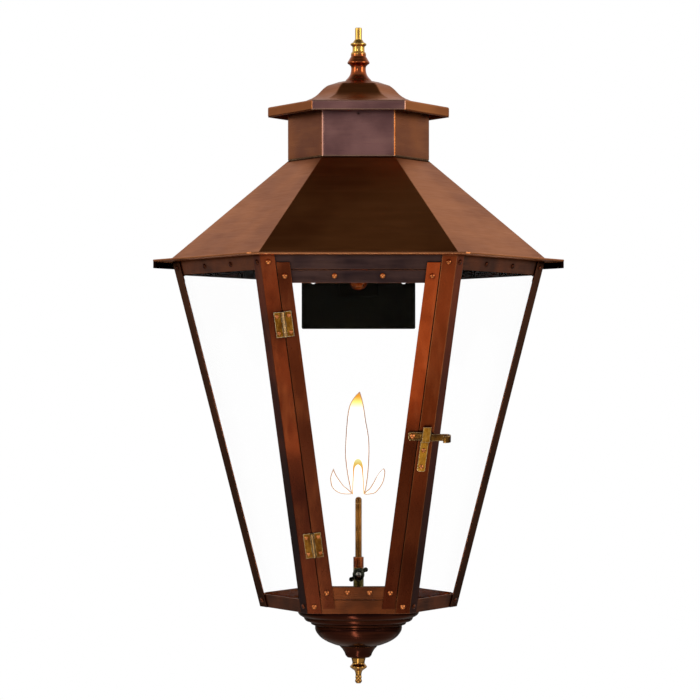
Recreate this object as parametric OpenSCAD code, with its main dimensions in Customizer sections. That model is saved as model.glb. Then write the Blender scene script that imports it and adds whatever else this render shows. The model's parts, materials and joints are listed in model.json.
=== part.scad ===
// Six-sided wall lantern for gas, riveted from copper sheet, with a hinged glass door.
// Front is -Y and the wall is at +Y. The origin is the middle of the wall plate's back face.

/* [Frame] */
// Radius to the corners at the foot of the glazed frame
foot_r = 110.5; // [105:0.5:115]
// Radius to the corners at the head of the glazed frame
head_r = 209; // [204:0.5:212]
// Height of the glazed frame
frame_h = 386.8; // [370:0.2:400]
// Thickness of the sheet in posts, bands and door
sheet = 1.6; // [1.4:0.1:1.8]
// Width of each flange of a corner post
post_w = 15.5; // [14:0.5:17]
// Depth of the band at the head, along the slope
head_band_h = 16; // [15:0.5:18]
// Depth of the band at the foot, along the slope
foot_band_h = 14.8; // [13.8:0.2:16]
// Distance of the post rivets from the corner line
post_rivet_in = 8.1; // [7:0.1:9]
// Distance of the post rivets from the head or foot of the frame
post_rivet_end = 7.7; // [6.5:0.1:8.5]
// Distance of the pane clips from the middle of a side
clip_u = 31; // [24:1:40]
// Radius of a rivet head
rivet_r = 3; // [2.5:0.1:3.2]

/* [Glass] */
// Thickness of the panes
glass_t = 3; // [2.5:0.5:4]
// Lap of a fixed pane behind the head band
glass_lap = 4.3; // [4:0.1:5]
// Width of a pane clip
clip_w = 9; // [8:0.5:11]

/* [Door] */
// Width of the two door stiles
stile_w = 14; // [12:0.5:16]
// Depth of the two door rails
rail_h = 13.8; // [12.6:0.2:15]
// Gap round the door
door_gap = 0.9; // [0.8:0.1:1.2]
// Lap of the stiles over the head band
stile_lap = 7.8; // [6:0.2:9]
// Lap of the stiles over the foot band
stile_foot_lap = 9.6; // [8:0.2:11]
// Distance of the upper rail's rivets from the middle
upper_rivet_u = 25.5; // [20:0.5:32]
// Distance of the lower rail's rivets from the middle
lower_rivet_u = 12; // [10:0.5:16]

/* [Hinges] */
// Distance of the upper hinge's middle from the frame's head, along the slope
upper_hinge_drop = 76.9; // [60:0.1:100]
// Height of the lower hinge's middle above the foot, along the slope
lower_hinge_v = 75.4; // [60:0.2:100]
// Length of a hinge
hinge_l = 27.4; // [25:0.2:30]
// Width of one leaf, from the pin's axis
leaf_w = 9.4; // [9.2:0.1:10.6]
// Thickness of a leaf
leaf_t = 1.2; // [1:0.1:1.4]
// Outer radius of a knuckle
knuckle_r = 1.6; // [1.5:0.05:1.8]
// Radius of the hinge pin
pin_r = 0.75; // [0.65:0.05:0.8]

/* [Latch] */
// Height of the latch pivot above the foot, along the slope
latch_v = 199.4; // [180:0.2:220]
// Reach of the bar from its pivot to the start of the curled end
bar_l = 29.5; // [28:0.5:33]
// Width of the bar
bar_w = 9; // [8:0.2:10]
// Thickness of the bar
bar_t = 1.8; // [1.5:0.1:2.2]
// Radius of the pivot's shank
pivot_r = 2; // [1.8:0.1:2.4]
// Outer radius of the curled end
curl_r = 5.6; // [5:0.1:6.5]
// Width of the keeper
keeper_w = 8.6; // [8:0.2:10]
// Length of the keeper below the bar
keeper_l = 34.8; // [34:0.2:38]
// Height of the hook's lip above the bar's underside
lip_h = 15; // [12:0.5:16]

/* [Roof] */
// Reach of the brim's corners beyond the frame's
brim_over = 23; // [20:0.5:25]
// Thickness of the brim's folded edge
brim_t = 2.2; // [1.8:0.1:3]
// Depth of the turned-down lip on the three wall sides
lip_drop = 7.4; // [5:0.2:8]
// Height of the roof slope
roof_h = 110; // [100:1:120]
// Thickness of the roof, collar, cap and bowl sheet
skin = 1.2; // [1:0.1:1.5]

/* [Collar and cap] */
// Radius to the corners of the collar
collar_r = 79.8; // [74:0.2:84]
// Height of collar that shows below the cap
collar_show = 49.6; // [40:0.2:60]
// Height of the collar's top above the cap's lower edge
collar_in = 4; // [3:0.5:5]
// Radius to the corners of the cap
cap_r = 102; // [96:0.5:108]
// Height of the cap's vertical edge
fascia_h = 11; // [10:0.2:13]
// Radius to the corners at the foot of the cap's dome
dome_r = 66; // [60:0.5:70]
// Radius to the corners at the top of the dome's flank
dome_top_r = 35.5; // [32:0.5:40]
// Height of the dome's flank
dome_h = 19.4; // [16:0.2:24]
// Radius of the rod that holds the cap
rod_r = 3; // [2.5:0.1:3.5]

/* [Bowl] */
// Radius of the bowl's rim
bowl_r = 68; // [65:0.5:71]
// Height of the bowl
bowl_h = 56.9; // [54:0.1:62]
// Radius of the belly below the rolled rings
belly_r = 48.8; // [46:0.2:52]
// Radius of the bowl at its bottom
bowl_foot_r = 12.5; // [11.5:0.1:14]

/* [Burner] */
// Height of the valve key's axis above the base plate's underside
valve_z = 36.4; // [34:0.2:42]
// Radius of the valve body and socket
valve_r = 5.85; // [5.6:0.05:6.4]
// Radius of the burner tube
tube_r = 3.65; // [3.4:0.05:3.9]
// Length of the burner tube above its socket
tube_l = 60; // [50:1:80]
// Radius of the gas passage
gas_r = 1.6; // [1.4:0.1:1.9]
// Radius of the key's turning plug
plug_r = 3.2; // [3:0.1:3.4]
// Radius of the key's round head
key_r = 6.7; // [6.2:0.1:7.2]
// Radius of the supply pipe
pipe_r = 4.75; // [4.5:0.05:5.2]
// Reach of the supply pipe behind the lantern's axis
pipe_reach = 118; // [105:1:130]

/* [Wall bracket] */
// Clearance between the brim and the wall
wall_clear = 5.8; // [5:0.1:10]
// Width of the wall plate
plate_w = 136; // [120:1:150]
// Height of the wall plate
plate_h = 65; // [60:1:66]
// Thickness of the wall plate and bracket
plate_t = 3; // [2.5:0.5:3.5]
// Width of the bracket's arm
arm_w = 46; // [40:1:56]
// Radius of the screw holes in the wall plate
hole_r = 3.3; // [2.8:0.1:4]
// Distance of the screw holes from the middle
hole_x = 54; // [45:1:58]
// Distance of the screw holes from the plate's top edge
hole_drop = 8; // [7:0.5:10]
// Radius of the hanging bolt
bolt_r = 4; // [3.5:0.1:4.5]
// Radius of the hanger ear's round end
ear_r = 10.4; // [10:0.1:12]

/* [Hidden] */
$fn = 64;

// Working clearances
seat = 0.01;
fit = 0.05;
play = 0.3;

// Slopes of the frame
slope = (head_r - foot_r) / frame_h;
tilt = atan(slope * cos(30));
edge_a = atan(slope * cos(tilt) / 2);
slant = frame_h / cos(tilt);
mitre = 1 / (2 * cos(tilt) * cos(30)) - slope * sin(tilt) / 2;

// Shape of the cap above its vertical edge
brim_rise = 5;
crown_rise = 5.2;
crown_r = 22;
crown_drop = 1;
cove = 0.3;
roof_over = 2.4;

// Reach of the brim and of the wall from the lantern's axis
brim_r = head_r + brim_over;
wall_gap = brim_r * cos(30) + wall_clear;

// Heights above the tip of the bottom finial
finial_drop = 29.8;
foot_z = finial_drop + bowl_h;
brim_z = foot_z + frame_h;
roof_z = brim_z + brim_t;
collar_z = roof_z + roof_h;
cap_z = collar_z + collar_show;
cap_top = fascia_h + brim_rise + dome_h + crown_rise;
hang_z = brim_z - lip_drop - plate_h / 2;

// Places on the faces
upper_hinge_v = slant - upper_hinge_drop;
hinge_in = post_w + door_gap / 2;
stile_in = post_w + door_gap;
rail_foot = foot_band_h + door_gap;
rail_head = slant - head_band_h - door_gap;
pane_head = slant - head_band_h + glass_lap;
clip_t = 1;
clip_foot = 7;
clip_rivet = 3.2;
clip_toe = 4;
rail_end = 0.8;
rivet_rise = 0.8;
lower_rivet_v = rail_foot + rail_h / 2 + rivet_rise;
upper_rivet_v = rail_head - rail_h / 2 + rivet_rise;
bolt_v = slant - head_band_h - 2.2;

// Rivets, screws and nuts
rivet_h = 1.9;
shank_r = 1.2;
tail_r = 2;
tail_h = 0.8;
pin_rivet_r = 2.2;
pin_rivet_h = 1.3;
ear_end = 3;
ear_rivet_end = 5.6;
pane_in = post_rivet_in + tail_r + play;
door_lap = rail_h / 2 - tail_r - clip_t - 2 * play - rivet_rise;
door_pane_in = stile_in + stile_w / 2 + tail_r + play;
leaf_rivet_u = 6.4;
leaf_rivet_v = hinge_l / 2 - 4.6;

// Latch and keeper
pivot_out = 1.3;
pivot_in = stile_in + stile_w / 2 - pivot_out;
thumb_w = 7.6;
thumb_drop = 1.5;
keeper_rivet_r = 2.5;
bar_lift = 1;
bar_z = bar_lift + play;
hook_z = bar_z + bar_t + play;
strip_t = 1.6;
keeper_in = post_rivet_in + 0.1;

// Burner stack, above the base plate's underside
spigot_r = 3.4;
spigot_top = 13;
valve_foot = 6;
socket_foot = valve_z + plug_r + 4;
socket_h = 12;
socket_grip = 9;
tube_bore = tube_r - 1.15;
key_lug_r = 2.6;
key_lug_reach = 9.7;
key_angle = 34;

// Supply fittings in the bowl, measured from the base plate's underside
pipe_drop = -10.6;
manifold_r = 8;
manifold_h = 21;
port_l = 18;
flare_sleeve = 7;
flare_mouth = 12;
flare_seat = 0.5;
stud_r = 2.4;

// Cap fixing
strap_w = 18;
strap_t = 2;
strap_fold = 12;
spacer_r = 5.5;
rod_top = 26;
nut_h = 4;
washer_t = 1.2;

// Turned profiles, as radius and height
top_profile = [
    [15, 0], [13.9, 1.5], [11, 4.8], [9.2, 8.2], [8.3, 13.1], [8.7, 16.4], [10.4, 18.3], [12.3, 19.7],
    [12.3, 21.2], [11.2, 23], [10.1, 25], [8.6, 27.6], [8.6, 29.6], [8.1, 31.8], [7, 33], [6.9, 38.4],
    [8.7, 40.2], [8.7, 42], [6.4, 43.4], [5.2, 45.2], [4.4, 46.2], [3.8, 47.5], [3.8, 58.6], [2.9, 59.6],
    [0, 59.6]
];
drop_profile = [
    [0, 0], [2.4, 0.5], [3.7, 2.2], [3.8, 3.9], [3.2, 5.4], [3.6, 7], [3.3, 9.6], [3.6, 12.2], [4.6, 14.6],
    [8, 17.2], [9.4, 18.6], [9.4, 19.8], [7.2, 22.4], [7, 24.2], [7.6, 27], [8, 28.6], [8, 29.8],
    [0, 29.8]
];

// Outline of the bowl from bottom to rim: a flaring neck, a round belly and two rolled rings.
// The steps of neck and belly are shares of their width and height.
ring_z = bowl_h - 20.8;
neck_h = 12.6;
neck_r = 21.3;
belly_foot = neck_h + 0.6;
neck_steps = [[0, 0], [0.22, 0.17], [0.38, 0.44], [0.62, 0.71], [0.86, 0.9], [0.97, 0.98], [1, 1]];
belly_steps = [
    [0, 0], [0.16, 0.04], [0.32, 0.11], [0.46, 0.18], [0.59, 0.26], [0.71, 0.35], [0.81, 0.45], [0.88, 0.55],
    [0.94, 0.65], [0.98, 0.75], [1, 0.86], [1, 0.98]
];
bowl_line = concat(
    [for (p = neck_steps) [bowl_foot_r + (neck_r - bowl_foot_r) * p[0], neck_h * p[1]]],
    [for (p = belly_steps)
        [neck_r + (belly_r - neck_r) * p[0], belly_foot + (ring_z - belly_foot) * p[1]]],
    [[belly_r + 1.4, ring_z + 0.6], [belly_r + 4, ring_z + 1.4], [belly_r + 4.4, ring_z + 3],
     [bowl_r - 10, ring_z + 4.8], [bowl_r - 7.6, ring_z + 6.4], [bowl_r - 6.6, ring_z + 8.4],
     [bowl_r - 5.6, ring_z + 9.4], [bowl_r - 2, ring_z + 11.4], [bowl_r - 0.4, ring_z + 13.2],
     [bowl_r, ring_z + 15], [bowl_r, bowl_h - 2 * skin], [bowl_r + 5, bowl_h - skin]]
);

function half(v) = (foot_r + slope * v * cos(tilt)) / 2;
function half_at(v, depth) = half(v) - mitre * depth;
function across(d) = d / cos(edge_a);
function face_y(z) = cos(30) * (foot_r + slope * (z - foot_z));
function reversed(list) = [for (i = [len(list) - 1 : -1 : 0]) list[i]];

// Puts the lantern's own axis in front of the wall
module place() translate([0, -wall_gap, -hang_z]) children();

// Puts a shape on the outside of side i, with Y up the slope and Z outwards. Side 0 is the front.
module on_face(i)
    translate([0, 0, foot_z]) rotate([0, 0, 60 * i])
        translate([0, -foot_r * cos(30), 0]) rotate([90 + tilt, 0, 0]) children();

// Puts a shape at height v on a side's left edge line, or on its right one, mirrored
module at_edge(v, right = false)
    mirror([right ? 1 : 0, 0, 0]) translate([-half(v), v, 0]) rotate([0, 0, edge_a]) children();

// Puts a shape on the face at height v, a distance in from the left edge line or from the right one
module beside_edge(v, inset, right = false)
    mirror([right ? 1 : 0, 0, 0]) translate([-half(v) + across(inset), v, 0]) children();

// A strip beside the left edge line, between two distances from it and two heights
module edge_strip(near, far, v0, v1, top, thick)
    translate([0, 0, top - thick]) linear_extrude(thick)
        polygon([
            [-half(v0) + across(near), v0], [-half(v0) + across(far), v0],
            [-half(v1) + across(far), v1], [-half(v1) + across(near), v1]
        ]);

// A trapezium that keeps a distance from both edge lines
module face_panel(inset, v0, v1, top, thick)
    translate([0, 0, top - thick]) linear_extrude(thick)
        polygon([
            [-half(v0) + across(inset), v0], [half(v0) - across(inset), v0],
            [half(v1) - across(inset), v1], [-half(v1) + across(inset), v1]
        ]);

// The level slice of space that the frame fills
module frame_slice() translate([0, 0, foot_z]) cylinder(r = brim_r, h = frame_h, $fn = 6);

// A round head on a flat face
module dome_head(r, h) {
    ball = (r * r + h * h) / (2 * h);
    intersection() {
        translate([0, 0, h - ball]) sphere(ball);
        cylinder(r = r + 1, h = h);
    }
}

// A rivet with its head on the face, its shank through a stack of sheet and its tail behind it
module rivet(stack, r = rivet_r, h = rivet_h) {
    dome_head(r, h);
    translate([0, 0, -stack - tail_h]) cylinder(r = shank_r, h = stack + tail_h + h / 2, $fn = 24);
    translate([0, 0, -stack - tail_h]) cylinder(r = tail_r, h = tail_h, $fn = 24);
}

module rivet_hole() translate([0, 0, -20]) cylinder(r = shank_r, h = 40, $fn = 24);

module hex_nut(af, bore, h)
    difference() {
        cylinder(r = af / 2 / cos(30), h = h, $fn = 6);
        translate([0, 0, -1]) cylinder(r = bore, h = h + 2);
    }

// Places of the rivets through posts and bands, on one side of the frame
module post_rivet_places()
    for (v = [post_rivet_end, slant - post_rivet_end], right = [false, true])
        beside_edge(v, post_rivet_in, right) children();

// Places of the clips on the head band, on one side of the frame
module clip_places()
    for (u = [-clip_u, clip_u]) translate([u, pane_head + play + clip_rivet, 0]) children();

// Places of the rivets where stiles and rails cross
module stile_rivet_places()
    for (v = [lower_rivet_v, upper_rivet_v], right = [false, true])
        beside_edge(v, stile_in + stile_w / 2, right) children();

module upper_rail_places()
    for (u = [-upper_rivet_u, upper_rivet_u]) translate([u, upper_rivet_v, 0]) children();

module lower_rail_places()
    for (u = [-lower_rivet_u, lower_rivet_u]) translate([u, lower_rivet_v, 0]) children();

module hinge_rivet_places()
    for (v = [-leaf_rivet_v, leaf_rivet_v]) translate([-leaf_rivet_u, v, 0]) children();

// Puts a shape on a hinge pin's axis, with Y along the pin, on the face of post and stile
module at_hinge(v) at_edge(v) translate([hinge_in, 0, 0]) children();

module at_latch() translate([half(latch_v) - across(pivot_in), latch_v, 0]) children();

module at_keeper() at_edge(latch_v - keeper_in * sin(edge_a), true) translate([keeper_in, 0, 0]) children();

module at_bolt() on_face(3) translate([0, bolt_v, 0]) children();

module bolt_hole() at_bolt() translate([0, 0, -20]) cylinder(r = bolt_r + fit, h = 30);

module ear_rivet_places() for (u = [-5.5, 5.5]) translate([u, slant - ear_rivet_end, 0]) children();

// One corner post: two flanges that meet at the corner line
module post(i) {
    module flange() difference() {
        edge_strip(0, post_w, -2, slant + 2, 0, sheet);
        for (v = [post_rivet_end, slant - post_rivet_end])
            beside_edge(v, post_rivet_in) rivet_hole();
    }
    color("#8a4325") place() difference() {
        intersection() {
            union() {
                on_face(i) mirror([1, 0, 0]) flange();
                on_face(i + 1) flange();
            }
            frame_slice();
        }
        if (i == 0) on_face(0) at_keeper() keeper_holes();
        if (i == 5) on_face(0) for (v = [upper_hinge_v, lower_hinge_v])
            at_hinge(v) hinge_rivet_places() rivet_hole();
    }
}

// A band round all six sides, between two heights up the slope
module band(v0, v1) {
    depth = sheet;
    intersection() {
        for (i = [0 : 5]) on_face(i)
            translate([0, 0, -sheet - depth]) linear_extrude(sheet)
                polygon([
                    [-half_at(v0, depth), v0], [half_at(v0, depth), v0],
                    [half_at(v1, depth), v1], [-half_at(v1, depth), v1]
                ]);
        frame_slice();
    }
}

module head_band()
    color("#5a3a33") place() difference() {
        band(slant - head_band_h, slant + 2);
        for (i = [0 : 5]) on_face(i) {
            post_rivet_places() rivet_hole();
            if (i > 0) clip_places() rivet_hole();
        }
        on_face(3) ear_rivet_places() rivet_hole();
        bolt_hole();
    }

module foot_band()
    color("#5a3a33") place() difference() {
        band(-2, foot_band_h);
        for (i = [0 : 5]) on_face(i) post_rivet_places() rivet_hole();
    }

// The closed floor of the frame, inside the foot band
module base_plate() {
    plate_r = foot_r - (2 * sheet / cos(tilt) + fit) / cos(30);
    color("#5a3a33") place() translate([0, 0, foot_z]) difference() {
        cylinder(r = plate_r, h = sheet, $fn = 6);
        translate([0, 0, -1]) cylinder(r = spigot_r + fit, h = sheet + 2);
    }
}

module frame_rivets()
    color("#d98a5c") place() {
        for (i = [0 : 5]) on_face(i) {
            post_rivet_places() rivet(2 * sheet);
            if (i > 0) clip_places() translate([0, 0, -sheet]) rivet(sheet + clip_t);
        }
        on_face(3) ear_rivet_places() translate([0, 0, -sheet]) rivet(2 * sheet);
        on_face(0) for (v = [upper_hinge_v, lower_hinge_v]) at_hinge(v) hinge_rivet_places()
            translate([0, 0, leaf_t]) rivet(leaf_t + sheet, pin_rivet_r, pin_rivet_h);
    }

// A clip of folded strip that holds a pane's edge. Y points from the pane to the clip's foot.
module pane_clip()
    rotate([90, 0, 90]) translate([0, 0, -clip_w / 2]) linear_extrude(clip_w)
        polygon([
            [clip_foot, 0], [clip_foot, -clip_t], [clip_t, -clip_t], [clip_t, -glass_t - clip_t],
            [-clip_toe, -glass_t - clip_t], [-clip_toe, -glass_t], [0, -glass_t], [0, 0]
        ]);

module pane_clips()
    color("#8a4325") place() for (i = [1 : 5]) on_face(i) difference() {
        for (u = [-clip_u, clip_u]) translate([u, pane_head + play, -2 * sheet]) pane_clip();
        clip_places() rivet_hole();
    }

module fixed_glass(i)
    color("#dfeef0", 0.25) place() on_face(i)
        face_panel(pane_in, sheet, pane_head, -2 * sheet, glass_t);

// The rear pane is notched round the hanging bolt
module glass_rear() {
    notch_r = ear_r + 2;
    difference() {
        fixed_glass(3);
        place() at_bolt() open_slot(notch_r);
    }
}

// A slot with a round foot, open at the top
module open_slot(r) {
    translate([0, 0, -20]) cylinder(r = r, h = 20);
    translate([-r, 0, -20]) cube([2 * r, head_band_h + 10, 20]);
}

// The brim: a flat hexagon with a folded edge, and a turned-down lip on the wall sides
module roof_brim() {
    lap = 16;
    clipped = 1.6;
    deep = 4 * lip_drop;
    module outline(r) intersection() {
        cylinder(r = r, h = deep, center = true, $fn = 6);
        rotate([0, 0, 30]) cylinder(r = (r - clipped) / cos(30), h = deep + 1, center = true, $fn = 6);
    }
    color("#4a241a") place() translate([0, 0, brim_z]) difference() {
        union() {
            intersection() {
                outline(brim_r);
                translate([0, 0, brim_t / 2]) cube([2 * brim_r, 2 * brim_r, brim_t], center = true);
            }
            intersection() {
                difference() {
                    outline(brim_r);
                    outline(brim_r - 2 * sheet);
                }
                translate([-brim_r, 0, -lip_drop]) cube([2 * brim_r, brim_r, lip_drop + brim_t / 2]);
            }
        }
        cylinder(r = head_r - lap, h = 4 * brim_t, center = true, $fn = 6);
    }
}

// The roof: a six-sided slope of sheet
module roof() {
    foot = head_r + roof_over;
    pitch = atan((foot - collar_r) * cos(30) / roof_h);
    inward = skin / cos(pitch) / cos(30);
    color("#6a3522") place() translate([0, 0, roof_z]) rotate_extrude($fn = 6)
        polygon([[foot, 0], [collar_r, roof_h], [collar_r - inward, roof_h], [foot - inward, 0]]);
}

module collar() {
    collar_h = collar_show + collar_in;
    color("#6a4a44") place() translate([0, 0, collar_z]) difference() {
        cylinder(r = collar_r, h = collar_h, $fn = 6);
        translate([0, 0, -1]) cylinder(r = collar_r - skin / cos(30), h = collar_h + 2, $fn = 6);
        translate([0, 0, collar_h - strap_fold / 2]) rotate([90, 0, 0])
            cylinder(r = shank_r, h = 2 * collar_r, center = true, $fn = 24);
    }
}

// Outline of the cap from its lower edge to its middle, moved in and down by t
function cap_line(t) = concat(
    [[cap_r - t, 0], [cap_r - t, fascia_h - t]],
    [for (s = [0 : 0.125 : 1])
        [
            dome_r - t - (dome_r - dome_top_r) * (s + cove * sin(180 * s) * (1 - s)),
            fascia_h + brim_rise + dome_h * s - t
        ]],
    [[crown_r, cap_top - crown_drop - t], [(rod_r + fit) / cos(30), cap_top - t]]
);

module cap()
    color("#5a3020") place() translate([0, 0, cap_z]) rotate_extrude($fn = 6)
        polygon(concat(cap_line(0), reversed(cap_line(skin / cos(30)))));

// A strap across the collar's top that carries the rod, with its ends folded down
module cap_strap() {
    reach = collar_r * cos(30) - skin;
    top = collar_show + collar_in;
    color("#8a4325") place() translate([0, 0, collar_z + top]) difference() {
        union() {
            translate([-strap_w / 2, -reach, -strap_t]) cube([strap_w, 2 * reach, strap_t]);
            for (s = [0, 1]) mirror([0, s, 0])
                translate([-strap_w / 2, -reach, -strap_fold]) cube([strap_w, strap_t, strap_fold]);
        }
        translate([0, 0, -strap_t - 1]) cylinder(r = rod_r, h = strap_t + 2);
        translate([0, 0, -strap_fold / 2]) rotate([90, 0, 0])
            cylinder(r = shank_r, h = 2 * collar_r, center = true, $fn = 24);
    }
}

// A distance tube between the strap and the cap's crown
module cap_spacer() {
    foot = cap_z + collar_in;
    head = cap_z + cap_top - skin / cos(30) - 0.3;
    color("#b08d4a") place() translate([0, 0, foot]) difference() {
        cylinder(r = spacer_r, h = head - foot);
        translate([0, 0, -1]) cylinder(r = rod_r, h = head - foot + 2);
    }
}

module finial_rod() {
    foot = cap_z + collar_in - strap_t - nut_h - 3;
    head = cap_z + cap_top + rod_top;
    color("#b08d4a") place() translate([0, 0, foot]) cylinder(r = rod_r, h = head - foot);
}

module rod_nut()
    color("#b08d4a") place() translate([0, 0, cap_z + collar_in - strap_t - nut_h]) hex_nut(11, rod_r, nut_h);

module top_finial()
    color("#c8963e") place() translate([0, 0, cap_z + cap_top]) difference() {
        rotate_extrude() polygon(concat([[0, 0]], top_profile));
        translate([0, 0, -1]) cylinder(r = rod_r, h = rod_top + 1);
    }

module bowl() {
    inner = [for (p = bowl_line) [p[0] - skin, p[1] + skin]];
    last = len(bowl_line) - 1;
    pipe_z = bowl_h + pipe_drop;
    color("#4a2418") place() translate([0, 0, finial_drop]) difference() {
        rotate_extrude(convexity = 4)
            polygon(concat(
                [[stud_r + fit, 0]], bowl_line, [[bowl_r + 5, bowl_h]],
                [[inner[last][0], bowl_h]], [for (i = [last - 1 : -1 : 0]) inner[i]], [[stud_r + fit, skin]]
            ));
        translate([0, 0, pipe_z]) rotate([-90, 0, 0]) cylinder(r = pipe_r + play, h = 2 * bowl_r);
    }
}

module manifold()
    color("#a07a3c") place() translate([0, 0, foot_z]) difference() {
        union() {
            translate([0, 0, -manifold_h]) cylinder(r = manifold_r, h = manifold_h);
            translate([0, 0, -1]) cylinder(r = spigot_r, h = spigot_top + 1);
            translate([0, 0, pipe_drop]) rotate([-90, 0, 0]) cylinder(r = pipe_r + 1.8, h = port_l);
        }
        translate([0, 0, pipe_drop]) cylinder(r = gas_r, h = spigot_top - pipe_drop + 1);
        translate([0, 0, pipe_drop]) rotate([-90, 0, 0]) cylinder(r = pipe_r - 1, h = port_l + 1);
        translate([0, port_l - 8, pipe_drop]) rotate([-90, 0, 0]) cylinder(r = pipe_r, h = 9);
        translate([0, 0, -manifold_h - 1]) cylinder(r = stud_r, h = 6);
    }

module manifold_nut()
    color("#a07a3c") place() translate([0, 0, foot_z + sheet]) hex_nut(12, spigot_r, valve_foot - sheet);

module supply_pipe()
    color("#b5673c") place() translate([0, port_l - 8, foot_z + pipe_drop]) rotate([-90, 0, 0]) difference() {
        cylinder(r = pipe_r, h = pipe_reach - port_l + 8);
        translate([0, 0, -1]) cylinder(r = pipe_r - 1, h = pipe_reach);
    }

// The nut that joins the supply: a sleeve on the pipe and a threaded mouth behind its end
module flare_nut()
    color("#a07a3c") place() translate([0, pipe_reach + flare_seat - flare_sleeve, foot_z + pipe_drop])
        rotate([-90, 0, 0]) difference() {
            union() {
                cylinder(r = pipe_r + 1.8, h = flare_sleeve + flare_mouth);
                translate([0, 0, flare_sleeve - 1]) cylinder(r = 9, h = flare_mouth + 1, $fn = 6);
            }
            translate([0, 0, -1]) cylinder(r = pipe_r, h = flare_sleeve + 2);
            translate([0, 0, flare_sleeve]) cylinder(r = pipe_r + 1.5, h = flare_mouth + 1);
        }

module bowl_stud() {
    into_finial = 8;
    head = foot_z - manifold_h + 5;
    foot = finial_drop - into_finial;
    color("#b08d4a") place() translate([0, 0, foot]) cylinder(r = stud_r, h = head - foot);
}

module bottom_finial()
    color("#c8963e") place() difference() {
        rotate_extrude() polygon(drop_profile);
        translate([0, 0, finial_drop - 8]) cylinder(r = stud_r, h = 9);
    }

module valve_body()
    color("#6e5a2c") place() translate([0, 0, foot_z]) difference() {
        translate([0, 0, valve_foot]) cylinder(r = valve_r, h = socket_foot - valve_foot);
        translate([0, 0, valve_foot - 1]) cylinder(r = spigot_r, h = spigot_top - valve_foot + 1);
        translate([0, 0, valve_foot]) cylinder(r = gas_r, h = socket_foot);
        translate([0, 0, valve_z]) rotate([90, 0, 0]) cylinder(r = plug_r + fit, h = 40, center = true);
    }

module burner_socket()
    color("#8a5230") place() translate([0, 0, foot_z + socket_foot]) difference() {
        cylinder(r = valve_r, h = socket_h);
        translate([0, 0, -1]) cylinder(r = gas_r, h = socket_h);
        translate([0, 0, socket_h - socket_grip]) cylinder(r = tube_r, h = socket_grip + 1);
    }

module burner_tube()
    color("#8a5a2c") place() translate([0, 0, foot_z + socket_foot + socket_h - socket_grip]) difference() {
        cylinder(r = tube_r, h = tube_l + socket_grip);
        translate([0, 0, -1]) cylinder(r = tube_bore, h = tube_l + socket_grip + 2);
    }

// The burner's tip: a round-nosed plug with a slot that spreads the flame
module burner_tip() {
    tip_h = 7.4;
    slot_w = 0.9;
    slot_deep = 4;
    color("#8a5a2c") place() translate([0, 0, foot_z + socket_foot + socket_h + tube_l]) difference() {
        union() {
            translate([0, 0, -6]) cylinder(r = tube_bore, h = 7);
            cylinder(r = tube_r, h = tip_h - tube_r);
            translate([0, 0, tip_h - tube_r]) sphere(tube_r);
        }
        translate([0, 0, -7]) cylinder(r = gas_r, h = tip_h + 7 - slot_deep);
        translate([-tube_r - 1, -slot_w / 2, tip_h - slot_deep])
            cube([2 * tube_r + 2, slot_w, slot_deep + 1]);
    }
}

// The valve key: a turning plug with a gas port and a round head with two lugs
module valve_key() {
    head_y = valve_r + 1.6;
    head_t = 3;
    color("#1c2018") place() translate([0, 0, foot_z + valve_z]) difference() {
        rotate([90, 0, 0]) union() {
            translate([0, 0, -head_y]) cylinder(r = plug_r, h = 2 * head_y);
            translate([0, 0, head_y]) cylinder(r = key_r, h = head_t);
            translate([0, 0, head_y + head_t]) dome_head(key_r - 1.2, 1.4);
            rotate([0, 0, key_angle]) for (s = [-1, 1]) {
                translate([s * key_lug_reach, 0, head_y]) cylinder(r = key_lug_r, h = head_t - 0.6);
                translate([s * key_lug_reach / 2, 0, head_y + 1.2])
                    cube([key_lug_reach, 2 * key_lug_r - 1.4, 2.4], center = true);
            }
        }
        cylinder(r = gas_r, h = 4 * plug_r, center = true);
        translate([0, head_y + 1, 0]) rotate([90, 0, 0]) cylinder(r = 1.4, h = 6);
    }
}

// The screw and washer that keep the key's plug in its bore
module key_screw()
    color("#a07a3c") place() translate([0, valve_r + 1.6, foot_z + valve_z]) rotate([-90, 0, 0]) {
        cylinder(r = plug_r + 1.2, h = 1);
        translate([0, 0, 1]) dome_head(2.6, 1.6);
        translate([0, 0, -5]) cylinder(r = 1.4, h = 7);
    }

module wall_plate() {
    corner = 2;
    color("#15150f") difference() {
        translate([0, 0, -plate_h / 2]) rotate([90, 0, 0]) linear_extrude(plate_t)
            rounded_rect(plate_w, plate_h, corner);
        for (s = [-1, 1]) translate([s * hole_x, 0, plate_h / 2 - hole_drop]) rotate([90, 0, 0])
            cylinder(r = hole_r, h = 4 * plate_t, center = true);
    }
}

// A rectangle with round corners, standing on the X axis
module rounded_rect(w, h, r) {
    translate([-w / 2 + r, 0]) square([w - 2 * r, h]);
    translate([-w / 2, r]) square([w, h - 2 * r]);
    for (x = [-w / 2 + r, w / 2 - r], y = [r, h - r]) translate([x, y]) circle(r);
}

// The arm: one strip bent into a channel between the wall plate and the lantern's rear side
module bracket_arm() {
    head = brim_z - lip_drop - 0.8;
    drop = 26;
    back = wall_gap - plate_t;
    thick = plate_t / cos(tilt);
    front = (sheet - seat) / cos(tilt);
    color("#15150f") place() difference() {
        rotate([90, 0, 90]) translate([0, 0, -arm_w / 2]) linear_extrude(arm_w)
            polygon([
                [face_y(head - drop) - front, head - drop], [face_y(head) - front, head], [back, head],
                [back, head - drop], [back - plate_t, head - drop], [back - plate_t, head - plate_t],
                [face_y(head - plate_t) - front + thick, head - plate_t],
                [face_y(head - drop) - front + thick, head - drop]
            ]);
        bolt_hole();
    }
}

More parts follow.
